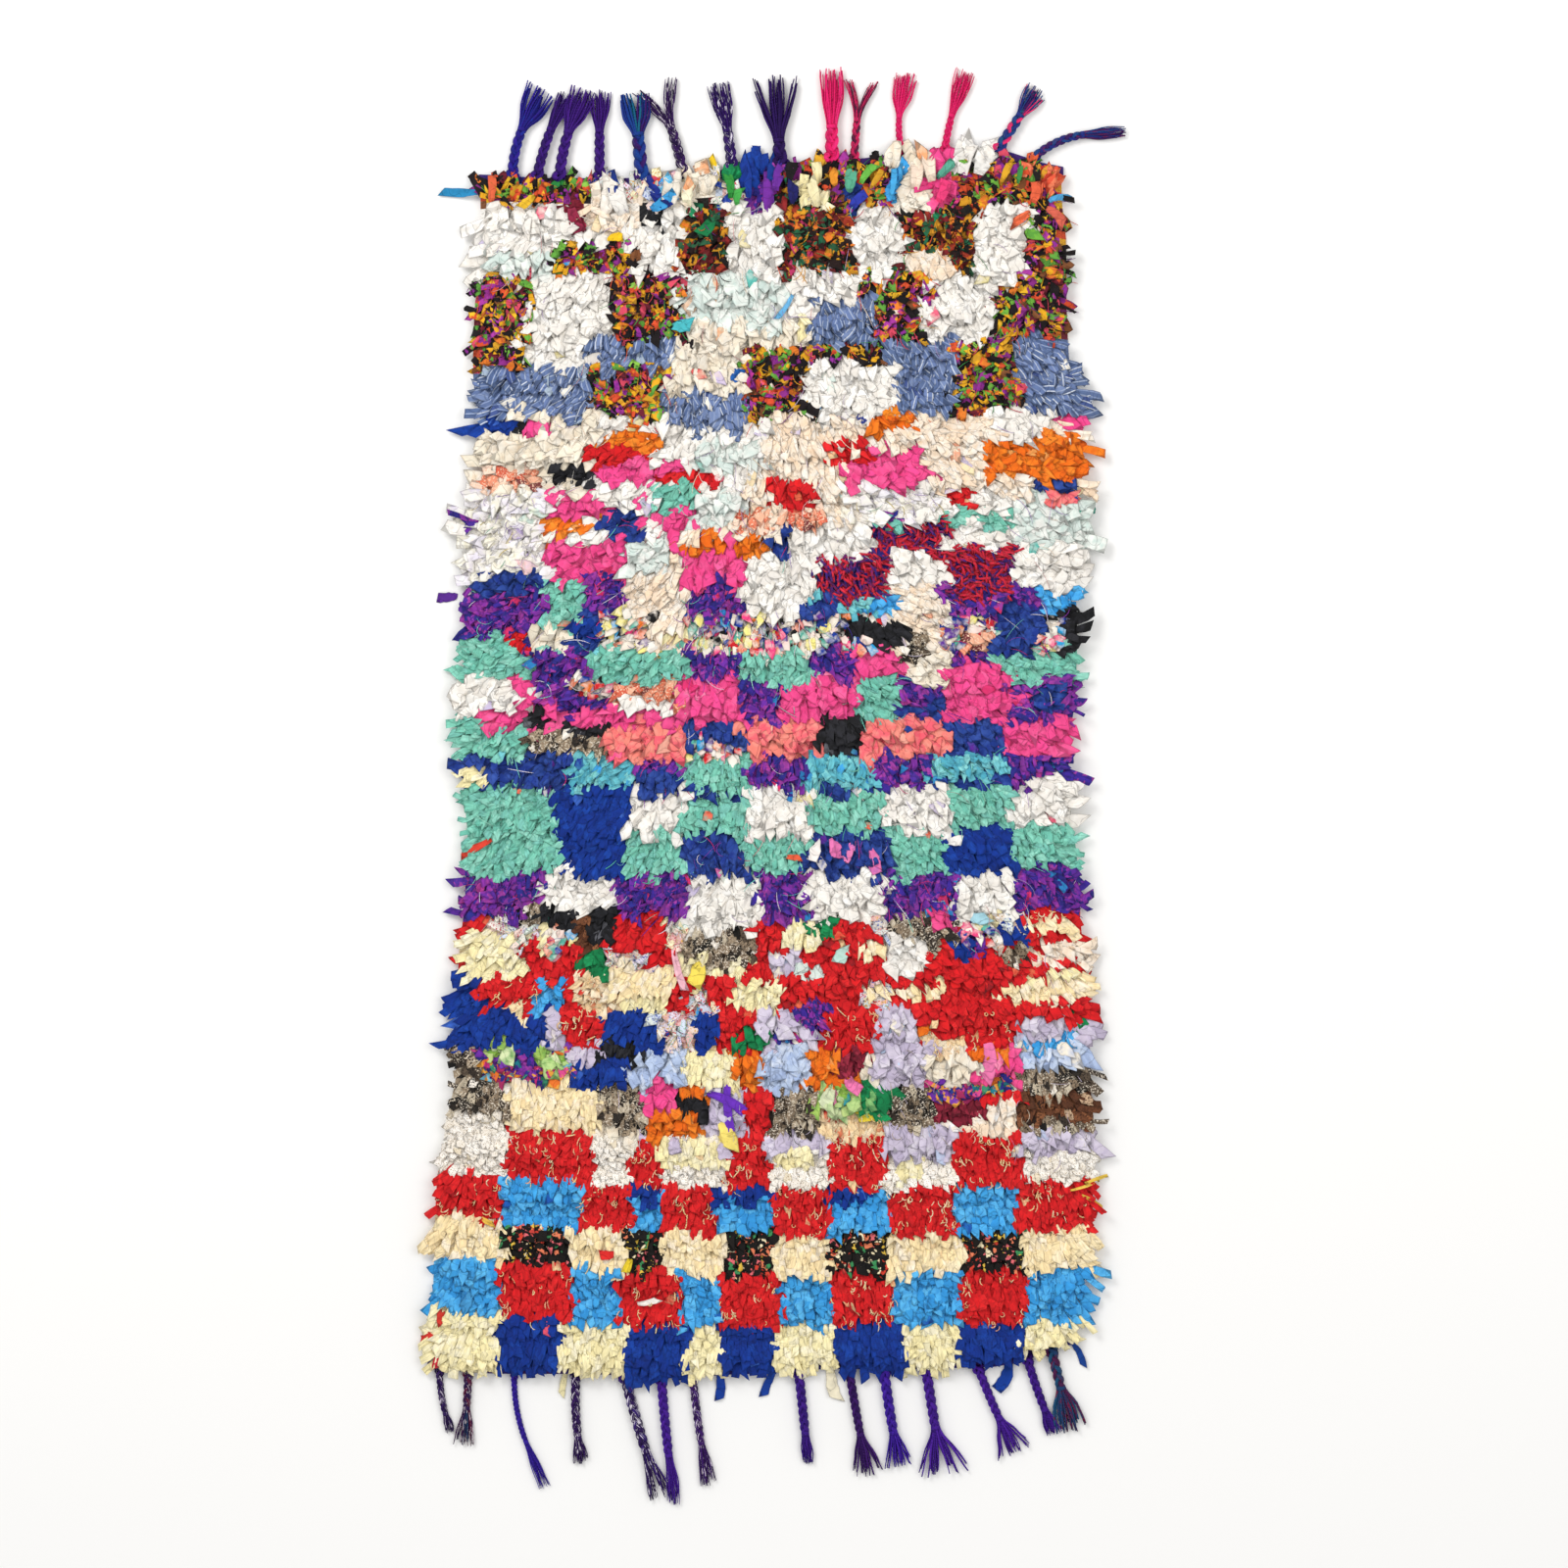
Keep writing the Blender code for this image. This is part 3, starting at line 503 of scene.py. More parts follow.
# The pile: cut ends of rag and yarn, knotted in rows. Each is a flat tail that rises from the ground,
# lies over the roots of the next row, and is pleated and crumpled like the cotton it was torn from.
class Cut(NamedTuple):
    """How a cloth is cut: sizes and spacings in millimetres, its form, and how far it strays."""

    width: float
    reach: float
    across: float
    rows: float
    sides: int
    rings: int
    pleat: float
    crumple: float
    roll: float
    stray: float
    uneven: float
    thickness: float


CUTS = {
    "rag": Cut(21.0, 31, 10.6, 15.0, 5, 5, 0.08, 0.035, 14, 27, 0.25, 1.0),
    "scrap": Cut(13.0, 24, 8.2, 12.0, 5, 4, 0.11, 0.06, 27, 70, 0.6, 1.0),
    "tab": Cut(15.0, 23, 9.4, 12.5, 5, 4, 0.06, 0.03, 15, 18, 0.25, 1.1),
    "gauze": Cut(13.0, 36, 7.6, 13, 5, 5, 0.08, 0.04, 11, 20, 0.3, 1.0),
    "strip": Cut(15.5, 27, 8.8, 14, 5, 4, 0.09, 0.05, 16, 25, 0.3, 1.2),
    "fold": Cut(13.5, 29, 7.6, 13.0, 5, 4, 0.05, 0.02, 8, 9, 0.3, 1.1),
    "shag": Cut(11.5, 26, 7.6, 11.5, 5, 4, 0.11, 0.07, 24, 36, 0.5, 1.1),
    "shred": Cut(12.0, 23, 8.0, 10.6, 5, 4, 0.08, 0.05, 14, 25, 0.35, 1.2),
    "yarn": Cut(3.8, 23, 4.8, 9.0, 3, 6, 0.0, 0.10, 20, 42, 0.1, 2.6),
    "nub": Cut(14.0, 18, 7.6, 9.0, 5, 4, 0.03, 0.025, 7, 16, 0.2, 1.4),
}
MM = 0.001
ROOT_SHARE = 0.62
PILE_NOISE = 0.002
RIM_INSET = 0.016
FOOT_INSET = 0.008
HEAD_INSET = 0.001
PARTING = (0.018, 0.05)
OVERHANG = 0.9
SWEPT_ANGLE = 62
RIM_ANGLE = 50
WIDEST_ANGLE = 84
FOLD_ANGLE = 38
LOWEST_POINT = 0.0006
BAKE_MARGIN = 0.08
PRINTS = {"faded": (16, 0.42, 0.78), "specks": (3.6, 0.54, 0.6), "blotches": (14, 0.52, 0.56),
          "dots": (2.4, 0.58, 0.64), "flowers": (11.5, 0.53, 0.56)}
STRIPE_PITCH = 8.6
CREASE_SIZE = 24
CREASE_WIDTH = 0.028
# Painted shade: how dark the thin crease lines are painted.
PAINTED_CREASE_SHADE = 0.66
# Painted shade at each rag's edge starts this far out towards the edge.
EDGE_STARTS = 0.8
# Streak stretch, streak size in millimetres, darkest and lightest tone, and the painted shade at each rag's
# edge.
CLOTH_WEAR_AND_EDGE_SHADE = (0.7, 11, 0.88, 1.08, 0.52)
FLEECE_WEAR_AND_EDGE_SHADE = (0.16, 3.6, 0.76, 1.18, 0.8)


class Sleeve(NamedTuple):
    """A closed sleeve: which side and ring each point is on, its triangles, and its corners' sides."""

    side: np.ndarray
    ring: np.ndarray
    triangles: np.ndarray
    corner_side: np.ndarray
    corner_ring: np.ndarray


def closed_sleeve(sides, rings):
    """Draws a sleeve out of a polygon, ring by ring."""
    bm = bmesh.new()
    bmesh.ops.create_circle(bm, cap_ends=True, segments=sides, radius=1)
    bm.faces.ensure_lookup_table()
    end = bm.faces[0]
    for _ in range(rings - 1):
        made = bmesh.ops.extrude_face_region(bm, geom=[end], use_keep_orig=True)["geom"]
        if len(bm.faces) > sides + 2:
            bm.faces.remove(end)
        end = next(item for item in made if isinstance(item, bmesh.types.BMFace))
        bmesh.ops.translate(bm, verts=end.verts, vec=(0, 0, 1))
    bmesh.ops.recalc_face_normals(bm, faces=bm.faces)
    bmesh.ops.triangulate(bm, faces=bm.faces)
    bm.verts.index_update()
    step = 2 * math.pi / sides
    side = np.array([round(math.atan2(v.co.y, v.co.x) / step) % sides for v in bm.verts])
    ring = np.array([round(v.co.z) for v in bm.verts])
    triangles = np.array([[v.index for v in face.verts] for face in bm.faces])
    corner_side = side[triangles].astype(float)
    corner_ring = ring[triangles].astype(float)
    wraps = (np.ptp(corner_side, axis=1) > 1.5) & (np.ptp(corner_ring, axis=1) > 0)
    corner_side[wraps] = np.where(corner_side[wraps] < 0.5, sides, corner_side[wraps])
    capped = np.ptp(corner_ring, axis=1) == 0
    corner_ring[capped] += 0.1 * np.sin(corner_side[capped] * step)
    bm.free()
    return Sleeve(side, ring, triangles, corner_side, corner_ring)


def swept(sleeve, path, half_width, depth, roll, offsets):
    """Sweeps sleeves along paths (rag, ring, 3). offsets (rag, point, 2) are across and up, in shares."""
    ahead = np.gradient(path, axis=1)
    ahead /= np.linalg.norm(ahead, axis=2, keepdims=True)
    level = np.stack((-ahead[..., 1], ahead[..., 0], np.zeros(ahead.shape[:2])), axis=2)
    level /= np.maximum(np.linalg.norm(level, axis=2, keepdims=True), 1e-6)
    above = np.cross(ahead, level)
    turn = roll[..., None]
    across = np.cos(turn) * level + np.sin(turn) * above
    upward = np.cos(turn) * above - np.sin(turn) * level
    ring = sleeve.ring
    return (
        path[:, ring]
        + across[:, ring] * (offsets[..., 0] * half_width[:, ring])[..., None]
        + upward[:, ring] * (offsets[..., 1] * depth[:, ring])[..., None]
    )


def joined_piece(name, sleeve, points, rag_colour, mark_colour, cloth_uv, material):
    """One mesh of many sleeves, with each one's colours and its places on the cloth, in millimetres."""
    count, size = points.shape[:2]
    corners = (sleeve.triangles[None] + (np.arange(count) * size)[:, None, None]).reshape(-1, 3)
    mesh = bpy.data.meshes.new(name)
    mesh.vertices.add(count * size)
    mesh.vertices.foreach_set("co", points.astype(np.float32).ravel())
    mesh.loops.add(corners.size)
    mesh.loops.foreach_set("vertex_index", corners.astype(np.int32).ravel())
    mesh.polygons.add(len(corners))
    mesh.polygons.foreach_set("loop_start", np.arange(0, corners.size, 3, dtype=np.int32))
    for key, colours in (("rag_colour", rag_colour), ("mark_colour", mark_colour)):
        layer = mesh.attributes.new(key, "FLOAT_COLOR", "POINT")
        layer.data.foreach_set("color", np.repeat(colours, size, axis=0).astype(np.float32).ravel())
    # Painted shade: the points on a flat sleeve's sides and cut end, which the material darkens into a thin
    # line round each rag.
    flat = sleeve.side.max() > 2
    shaded_rim = (sleeve.side == 0) | (sleeve.side == sleeve.side.max() - 1) | (sleeve.ring == sleeve.ring.max())
    painted_edge_shade = mesh.attributes.new("painted_edge_shade", "FLOAT", "POINT")
    painted_edge_shade.data.foreach_set("value", np.tile((shaded_rim & flat).astype(np.float32), count))
    mesh.update(calc_edges=True)
    mesh.uv_layers.new(name="cloth_mm").uv.foreach_set(
        "vector", cloth_uv.reshape(-1, 2)[corners.ravel()].astype(np.float32).ravel()
    )
    # Each sleeve is opened out in a cell of its own, so that its colours can be baked side by side.
    cells = math.ceil(math.sqrt(count))
    sides, rings = sleeve.side.max() + 1, sleeve.ring.max()
    inner = 1 - 2 * BAKE_MARGIN
    cell_u = BAKE_MARGIN + inner * sleeve.corner_side.ravel() / sides
    cell_v = BAKE_MARGIN + inner * np.clip(sleeve.corner_ring.ravel() / rings, -0.05, 1.05)
    number = np.arange(count)[:, None]
    atlas = np.stack(((number % cells + cell_u) / cells, (number // cells + cell_v) / cells), axis=2)
    mesh.uv_layers.new(name="OFBake").uv.foreach_set("vector", atlas.astype(np.float32).ravel())
    mesh.shade_smooth()
    mesh.materials.append(material)
    piece = bpy.data.objects.new(name, mesh)
    bpy.context.collection.objects.link(piece)
    return piece


def cloth_material(name, print_form, nap, fleecy=False):
    """Washed cotton or jersey: matt, a little napped, with creases and fine wrinkles along each rag, and
    painted shade in the creases and round the edges.
    """
    material, tree, shader = new_material(name, 0.88)
    shader.inputs["Sheen Weight"].default_value = nap
    shader.inputs["Sheen Roughness"].default_value = 0.5
    shader.inputs["Specular IOR Level"].default_value = 0.25
    rag = add_node(tree, "Attribute", {"attribute_name": "rag_colour"})
    mark = add_node(tree, "Attribute", {"attribute_name": "mark_colour"})
    place = add_node(tree, "UVMap", {"uv_map": "cloth_mm"})
    if print_form == "stripes":
        # Shirting stripes run along the strips, a fine pair to every few millimetres.
        low, high = 0.84, 0.96
        stripes = {"Scale": math.pi / 10 / STRIPE_PITCH, "Distortion": 0.3, "Detail": 1.0}
        pattern = add_node(tree, "TexWave", stripes, {"Vector": place}).outputs["Fac"]
    else:
        size, low, high = PRINTS[print_form]
        spots = {"Scale": 1 / size, "Detail": 2.0, "Roughness": 0.5}
        pattern = add_node(tree, "TexNoise", spots, {"Vector": place})
    shows = add_node(tree, "MapRange", {"From Min": low, "From Max": high}, {"Value": pattern})
    printed = add_node(tree, "Mix", {"data_type": "RGBA"}, {0: shows, 6: rag, 7: mark})
    # Use leaves each rag lighter and darker in patches, and fleece in streaks along its fibres.
    stretch, grain, low, high, edge_shade = FLEECE_WEAR_AND_EDGE_SHADE if fleecy else CLOTH_WEAR_AND_EDGE_SHADE
    along = add_node(tree, "Mapping", {"Scale": (1, stretch, 1)}, {"Vector": place})
    worn = add_node(tree, "TexNoise", {"Scale": 1 / grain, "Detail": 3.0}, {"Vector": along})
    tones = {"From Min": 0.3, "From Max": 0.7, "To Min": low, "To Max": high}
    tone = add_node(tree, "MapRange", tones, {"Value": worn})
    # Painted shade: thin dark lines where the cloth folds over, standing in for the shade in its creases. The
    # same lines also shape the bump.
    folds = {"Scale": 1 / CREASE_SIZE, "Detail": 0.6, "Distortion": 0.6}
    folding = add_node(tree, "TexNoise", folds, {"Vector": place})
    from_fold = add_node(tree, "Math", {"operation": "SUBTRACT", 1: 0.5}, {0: folding})
    distance = add_node(tree, "Math", {"operation": "ABSOLUTE"}, {0: from_fold})
    shades = {"From Min": 0.006, "From Max": CREASE_WIDTH, "To Min": PAINTED_CREASE_SHADE, "To Max": 1.0}
    crease = add_node(tree, "MapRange", shades, {"Value": distance})
    # Painted shade: a thin dark line round each flat rag's sides and cut end, standing in for the shade
    # between the rags.
    shaded_rim = add_node(tree, "Attribute", {"attribute_name": "painted_edge_shade"}).outputs["Fac"]
    shades = {"From Min": EDGE_STARTS, "From Max": 1.0, "To Min": 1.0, "To Max": edge_shade}
    edge = add_node(tree, "MapRange", shades, {"Value": shaded_rim})
    worn_tone_and_crease_shade = add_node(tree, "Math", {"operation": "MULTIPLY"}, {0: tone, 1: crease})
    shade = add_node(tree, "Math", {"operation": "MULTIPLY"}, {0: worn_tone_and_crease_shade, 1: edge})
    toned = add_node(tree, "HueSaturation", None, {"Value": shade, "Color": printed})
    tree.links.new(toned.outputs["Color"], shader.inputs["Base Color"])
    lengthwise = add_node(tree, "Mapping", {"Scale": (1, 0.4, 1)}, {"Vector": place})
    wrinkles = {"Scale": 1 / 3.6, "Detail": 3.0, "Distortion": 0.8}
    wrinkle = add_node(tree, "TexNoise", wrinkles, {"Vector": lengthwise})
    relief = add_node(tree, "Math", {"operation": "MULTIPLY_ADD", 1: 0.4}, {0: crease, 2: wrinkle})
    creased = add_node(tree, "Bump", {"Strength": 0.6, "Distance": 0.0016}, {"Height": relief})
    tree.links.new(creased.outputs["Normal"], shader.inputs["Normal"])
    return material


def lay_heading(x, y, stray, chance):
    """Which way each tail lies: towards the foot, swept outwards by feet and brushes, and up at the head."""
    y_cm, x_cm = y / CM, x / CM
    swept_out = 0.35 + 0.6 * eased(66, 50, y_cm) - 0.45 * eased(14, 0, y_cm) - 0.4 * eased(-30, -55, y_cm)
    to_left, to_right, _, to_head = wall_distances(x, y)
    outward = swept_out * eased(2, 24, np.abs(x_cm)) * np.sign(x_cm) * math.radians(SWEPT_ANGLE)
    at_rim = 1 - eased(0.0, 0.07, np.minimum(to_left, to_right))
    outward += at_rim * np.sign(x_cm) * math.radians(RIM_ANGLE)
    outward = np.clip(outward, -math.radians(WIDEST_ANGLE), math.radians(WIDEST_ANGLE))
    outward += np.radians(chance.normal(0, stray, x.size)) * (1 - 0.45 * eased(-0.5, -0.65, y))
    parting = chance.uniform(*PARTING, x.size)
    near = (to_head < PARTING[1] + 0.02) & (to_head > PARTING[0])
    outward = np.where(near, outward + chance.uniform(-1.2, 1.2, x.size), outward)
    return np.where(to_head < parting, math.pi / 2 - outward * 0.7, outward - math.pi / 2)


def overhang(x, y, chance):
    """How much longer some of the outermost tails are, since nobody treads them short."""
    to_left, to_right, to_foot, to_head = wall_distances(x, y)
    side = 1 - eased(0.018, 0.036, np.minimum(to_left, to_right))
    end = 0.45 * (1 - eased(0.004, 0.02, np.minimum(to_foot, to_head)))
    return 1 + np.maximum(side, end) * OVERHANG * chance.random(x.size) ** 2


def knots(cut, chance):
    """The roots of the pile in rows, every other row half a step along, in metres."""
    across, rows = cut.across * MM, cut.rows * MM
    ys = np.arange(body_low.y, body_high.y, rows)
    xs = np.arange(body_low.x, body_high.x, across)
    x, y = np.meshgrid(xs, ys)
    x = x + (np.arange(len(ys)) % 2)[:, None] * across / 2
    x, y = x.ravel(), y.ravel()
    loose = 0.28 - 0.16 * eased(-0.4, -0.6, y)
    x = x + chance.uniform(-0.3, 0.3, x.size) * across
    y = y + chance.uniform(-1, 1, x.size) * rows * loose
    left, right, foot, head = wall_distances(x, y)
    inside = (np.minimum(left, right) > RIM_INSET) & (foot > FOOT_INSET) & (head > HEAD_INSET)
    return x[inside], y[inside]


def cut_profile(cut):
    """Across and up for each side of a tail's cross-section: a flat top, and one line beneath."""
    tops = cut.sides - 1 if cut.sides > 3 else 2
    across = np.append(np.linspace(1, -1, tops), 0)
    upward = np.append(np.zeros(tops), -1)
    return across, upward


def pile_path(cut, x, y, heading, reach, chance):
    """A line for each tail, up from the mat and over the next row, lower towards the rug's rim."""
    count = x.size
    t = np.linspace(0, 1, cut.rings)
    crown = crown_at(x, y) + chance.uniform(-PILE_NOISE, PILE_NOISE, count)
    rim = 1 - eased(RIM_CROWN, FULL_CROWN, crown)
    aside = (chance.uniform(-0.5, 0.5, count) * reach)[:, None] * t**2 * 0.5
    along = reach[:, None] * t
    rise = np.sin(np.minimum(t / 0.8, 1) * math.pi / 2)
    drop = (chance.uniform(0.0, 0.08, count) + 0.5 * rim)[:, None] * np.maximum(0, (t - 0.5) / 0.5) ** 1.5
    root = (crown * ROOT_SHARE)[:, None]
    height = root + (crown[:, None] - root) * rise - crown[:, None] * drop
    cos, sin = np.cos(heading)[:, None], np.sin(heading)[:, None]
    return np.stack(
        (x[:, None] + along * cos - aside * sin, y[:, None] + along * sin + aside * cos, height), axis=2
    )


def tails(cut, sleeve, path, reach, width, chance):
    """The points of each tail along its path, and their places on its cloth in millimetres."""
    count, size = len(path), sleeve.side.size
    t = np.linspace(0, 1, cut.rings)
    flare = 0.6 + 0.4 * np.sin(np.minimum(t * 1.4, 1) * math.pi / 2)
    half_width = width[:, None] / 2 * flare
    across, upward = cut_profile(cut)
    roll = np.radians(chance.normal(0, cut.roll * 0.6, count))[:, None]
    roll = roll + np.radians(chance.normal(0, cut.roll * 0.5, count))[:, None] * (t - 0.5)
    offsets = np.empty((count, size, 2))
    offsets[..., 0] = across[sleeve.side] + chance.uniform(-0.12, 0.12, (count, size))
    pleats = chance.normal(0, cut.pleat, (count, cut.sides))[:, sleeve.side]
    crumples = chance.normal(0, cut.crumple, (count, size))
    thin = cut.thickness * MM / width[:, None]
    offsets[..., 1] = pleats + crumples + upward[sleeve.side] * thin
    top = upward[sleeve.side] == 0
    offsets[..., 1] = np.where(top, offsets[..., 1], np.minimum(offsets[..., 1], -thin))
    points = swept(sleeve, path, half_width, np.repeat(width[:, None], cut.rings, axis=1), roll, offsets)
    # The end is cut askew, so that one corner of it reaches further than the other.
    ends = sleeve.ring == cut.rings - 1
    ahead = path[:, -1] - path[:, -2]
    ahead /= np.linalg.norm(ahead, axis=1, keepdims=True)
    skew = chance.normal(0, 0.3, count)[:, None] * offsets[:, ends, 0] * width[:, None]
    points[:, ends] += skew[..., None] * ahead[:, None]
    points[..., 2] = np.maximum(points[..., 2], LOWEST_POINT)
    start = chance.uniform(0, 900, (count, 2))
    cloth_u = offsets[..., 0] * width[:, None] / 2 / MM + start[:, :1]
    cloth_v = t[sleeve.ring] * (reach[:, None] * 1.3 / MM) + start[:, 1:]
    return points, np.stack((cloth_u, cloth_v), axis=2)


for cut_name, cut in CUTS.items():
    chance = np.random.default_rng(100 + list(CUTS).index(cut_name))
    sleeve = closed_sleeve(cut.sides, cut.rings)
    root_x, root_y = knots(cut, chance)
    heading = lay_heading(root_x, root_y, cut.stray, chance)
    seen_at = cut.reach * MM * 0.6
    seen_x, seen_y = root_x + seen_at * np.cos(heading), root_y + seen_at * np.sin(heading)
    knot_cloth = charted(seen_x, seen_y)
    for name, cloth in CLOTHS.items():
        chosen = knot_cloth == name
        if cloth.cut != cut_name or not chosen.any():
            continue
        count = int(chosen.sum())
        reach = cut.reach * MM * chance.uniform(0.78, 1.22, count)
        reach = reach * overhang(root_x[chosen], root_y[chosen], chance)
        width = cut.width * MM * (1 + cut.uneven * chance.uniform(-1, 1, count))
        path = pile_path(cut, root_x[chosen], root_y[chosen], heading[chosen], reach, chance)
        points, cloth_uv = tails(cut, sleeve, path, reach, width, chance)
        rag_colour = rag_colours(chance, cloth, seen_x[chosen], seen_y[chosen])
        mark_colour = random_colours(chance, cloth.marks, count, 0.07)
        fleecy = cut_name in ("shred", "shag", "fold")
        material = cloth_material(f"{name}_{cut_name}_cotton", cloth.print, cloth.nap, fleecy)
        piece = joined_piece(f"pile_{name}", sleeve, points, rag_colour, mark_colour, cloth_uv, material)
        if cut.sides > 3:
            piece.data.set_sharp_from_angle(angle=math.radians(FOLD_ANGLE))
        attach(piece, "root")


# Loose rags: single tails that were knotted in where there was room, or have worked out of their row.
# They lie on top of the pile, and some hang over the rug's sides, each a torn strip of cotton.
class LooseRag(NamedTuple):
    """A rag's root in centimetres, its heading in degrees, its size in millimetres, and its colour."""

    x: float
    y: float
    heading: float
    length: float
    width: float
    colour: str


# One rag after another, in the order of LooseRag.
LOOSE_RAGS = """
-46.5 93.3 184 62 15 2a8cc0, -46 92.6 112 42 15 1b1418, -44.5 91.5 80 44 14 d8603c,
-22.8 89.5 118 66 30 e9e4dc, -26 89.6 70 60 26 efe6da, -24.4 92.2 96 46 19 14307e,
-18.2 90.2 24 46 20 3fa0dc, -17.4 92.6 52 40 18 6cc0e6, -16 90.8 66 62 32 ebe3d4, -18 94 40 17 15 e2502e,
-20.2 98.2 280 78 23 1b2f86, -19.4 96.4 286 70 20 182f8c, -12.5 91 96 50 22 f0e8c8, -7.6 95 95 44 10 f0c824,
-5.4 92.2 92 50 15 2f8f3a, -4.4 91.2 104 24 13 45a84a, -2.6 92.2 90 70 17 10358e, 1 94.6 86 44 19 12388c,
0.6 90 90 70 21 742c9c, 1.8 93.4 84 40 17 6a2a96, 4.8 91.4 98 32 18 1c1c5e, 3.8 94.8 74 34 19 161214,
8.6 91 104 42 18 f2e6b8, 11.6 94 112 34 14 e8942a, 13.8 93.2 86 36 20 58a888, 14.2 90.4 66 34 18 2c3aa8,
15.8 94.6 70 38 13 6cba4a, 17.4 93.6 64 36 12 e0a42a, 20.4 92 70 50 11 46a8e0, 24.4 93.6 76 52 22 f2dcc8,
27.2 95 104 50 22 f3e0cc, 32.2 96 84 62 30 e8e3dc, 34.8 96 72 50 28 ece8e2, 28.2 95.4 46 38 15 5aa890,
28.4 91.6 58 36 20 ea3c78, 38.6 94.8 66 34 12 e2a826, 41.2 94.6 72 36 10 3a8a44, 44.6 94.6 96 34 13 181614,
43.6 91.4 60 34 18 ea6440, 46.4 91.6 38 34 12 52a8dc, 46 90.4 -14 38 16 d86450, 43.2 89.8 216 34 14 ee7048,
-31.4 90.6 280 42 20 9a2a48, -37.5 92.6 230 30 14 e8b82c, -35.6 93.4 30 34 14 2a8a40,
-8.6 88.6 250 30 22 147844, -25.4 85.6 20 24 15 f2c41e, 4.8 76.8 248 52 9 6db7e6,
-15.2 71.4 350 34 22 4ab8c0, -5.4 62.2 44 26 17 1f5fae, -3 61.8 84 26 18 c43a9a, 19.2 56.6 18 30 22 f0861e,
18 56.4 262 32 22 ee7a1a, 15 57 320 20 13 2a3a86, 50.4 41 22 36 12 5fb4a0, -50 27.4 184 34 16 5a2a8e,
8.6 -12.4 262 34 22 f4ece6, 11.2 -12.2 286 32 22 f07ab8, 14 -13.6 250 26 17 ef86bc,
17.2 -13.8 300 30 18 f07ab8, 3.6 -15 352 24 10 e8603e, 30 -12.6 10 22 17 f2ece8,
-44.4 -12.2 208 58 14 d8402e, -10.4 -31.6 262 46 26 f6dc5c, -14.8 -29.6 276 74 12 f2bcc8,
-7.2 -58.2 300 44 30 f4dc72, -14.6 -61 262 24 22 cdc0d6, -6.8 -61.8 268 24 22 cdc0d6,
-15 -11 300 26 17 f4efe8, 33.4 -24.6 330 30 20 a8d4e0, 14 -30 200 30 22 bfe0d4, -6 -51.6 267 84 15 6a30b8,
-9.2 -53.6 352 68 17 6a30b8, 36.4 -45.4 288 60 24 f07aae, 10.8 -52.8 250 32 24 dfe8c0,
13.6 -51 290 30 20 f07ab0, 15.4 -55 284 34 22 f2d840, -46 -73.8 322 22 10 f0c050, 52.2 -68.2 20 40 6 e8c24c,
51.4 -70 338 44 6 e4bc48, 49.6 -69.4 12 52 5 f0cc58, -24.2 -79.6 200 26 15 e22c28,
-21.8 -80.6 250 22 14 f0d434, -52.6 -89 268 20 16 dd3c30, -54 -92.6 214 26 13 d8352c,
-53.2 -96.4 250 22 12 cf2c3c, -47.6 -85.6 250 36 17 4a9ed6, -20.6 -87.8 4 34 10 f6efe6,
-35.2 -90.4 262 26 14 e8566e
"""
RAG_LIFT = 0.0036
HEAD_LIFT = 0.005
HIGHEST_FOLD = 0.039
FLOOR_LIFT = 0.0022
LOOSE_CUT = Cut(20, 50, 0, 0, 5, 8, 0.10, 0.05, 20, 0, 0, 1.3)


def surface_below(x, y):
    """The height of the pile, or of the floor past the rug's side, under each point."""
    down = Vector((0, 0, -1))
    hits = [body_tree.ray_cast(Vector((u, v, 1)), down)[0] for u, v in zip(x.ravel(), y.ravel())]
    return np.array([FLOOR_LIFT if hit is None else hit.z + RAG_LIFT for hit in hits]).reshape(x.shape)


def laid_rags(name, rags, material, seed):
    """Rags laid from their roots over what is under them, as one piece."""
    chance = np.random.default_rng(seed)
    sleeve = closed_sleeve(LOOSE_CUT.sides, LOOSE_CUT.rings)
    t = np.linspace(0, 1, LOOSE_CUT.rings)
    heading = np.radians([rag.heading for rag in rags])[:, None] + chance.normal(0, 0.25, (len(rags), 1)) * t
    reach = np.array([rag.length for rag in rags]) * MM
    x = np.array([rag.x for rag in rags])[:, None] * CM + reach[:, None] * t * np.cos(heading)
    y = np.array([rag.y for rag in rags])[:, None] * CM + reach[:, None] * t * np.sin(heading)
    z = surface_below(x, y) + HEAD_LIFT * eased(0.88, 0.91, y)
    for _ in range(3):
        z[:, 1:-1] = (z[:, :-2] + z[:, 1:-1] + z[:, 2:]) / 3
    z[:, 0] -= 2 * RAG_LIFT
    width = np.array([rag.width for rag in rags]) * MM
    points, cloth_uv = tails(LOOSE_CUT, sleeve, np.stack((x, y, z), axis=2), reach, width, chance)
    points[..., 2] = np.minimum(points[..., 2], HIGHEST_FOLD)
    colours = np.array([(*linear(rag.colour), 1) for rag in rags])
    piece = joined_piece(name, sleeve, points, colours, colours * (0.8, 0.8, 0.8, 1), cloth_uv, material)
    piece.data.set_sharp_from_angle(angle=math.radians(FOLD_ANGLE))
    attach(piece, "root")
    return piece


torn_cotton = cloth_material("torn_cotton_rag", "faded", 0.05)
rags = [
    LooseRag(*map(float, sizes), colour) for *sizes, colour in map(str.split, LOOSE_RAGS.split(","))
]
odd_rags = laid_rags("loose_rags", rags, torn_cotton, 31)


# Loose threads: frayed ends and cut yarn that lie on the pile. They cluster in the red blocks, whose fleece
# was sewn with cream yarn, and run long and thin over the rest.
class ThreadLay(NamedTuple):
    """Threads on some cloths: how many to a square metre, their size in millimetres, and their curl."""

    cloths: str
    density: float
    clustered: float
    length: float
    thickness: float
    curl: float
    colours: str


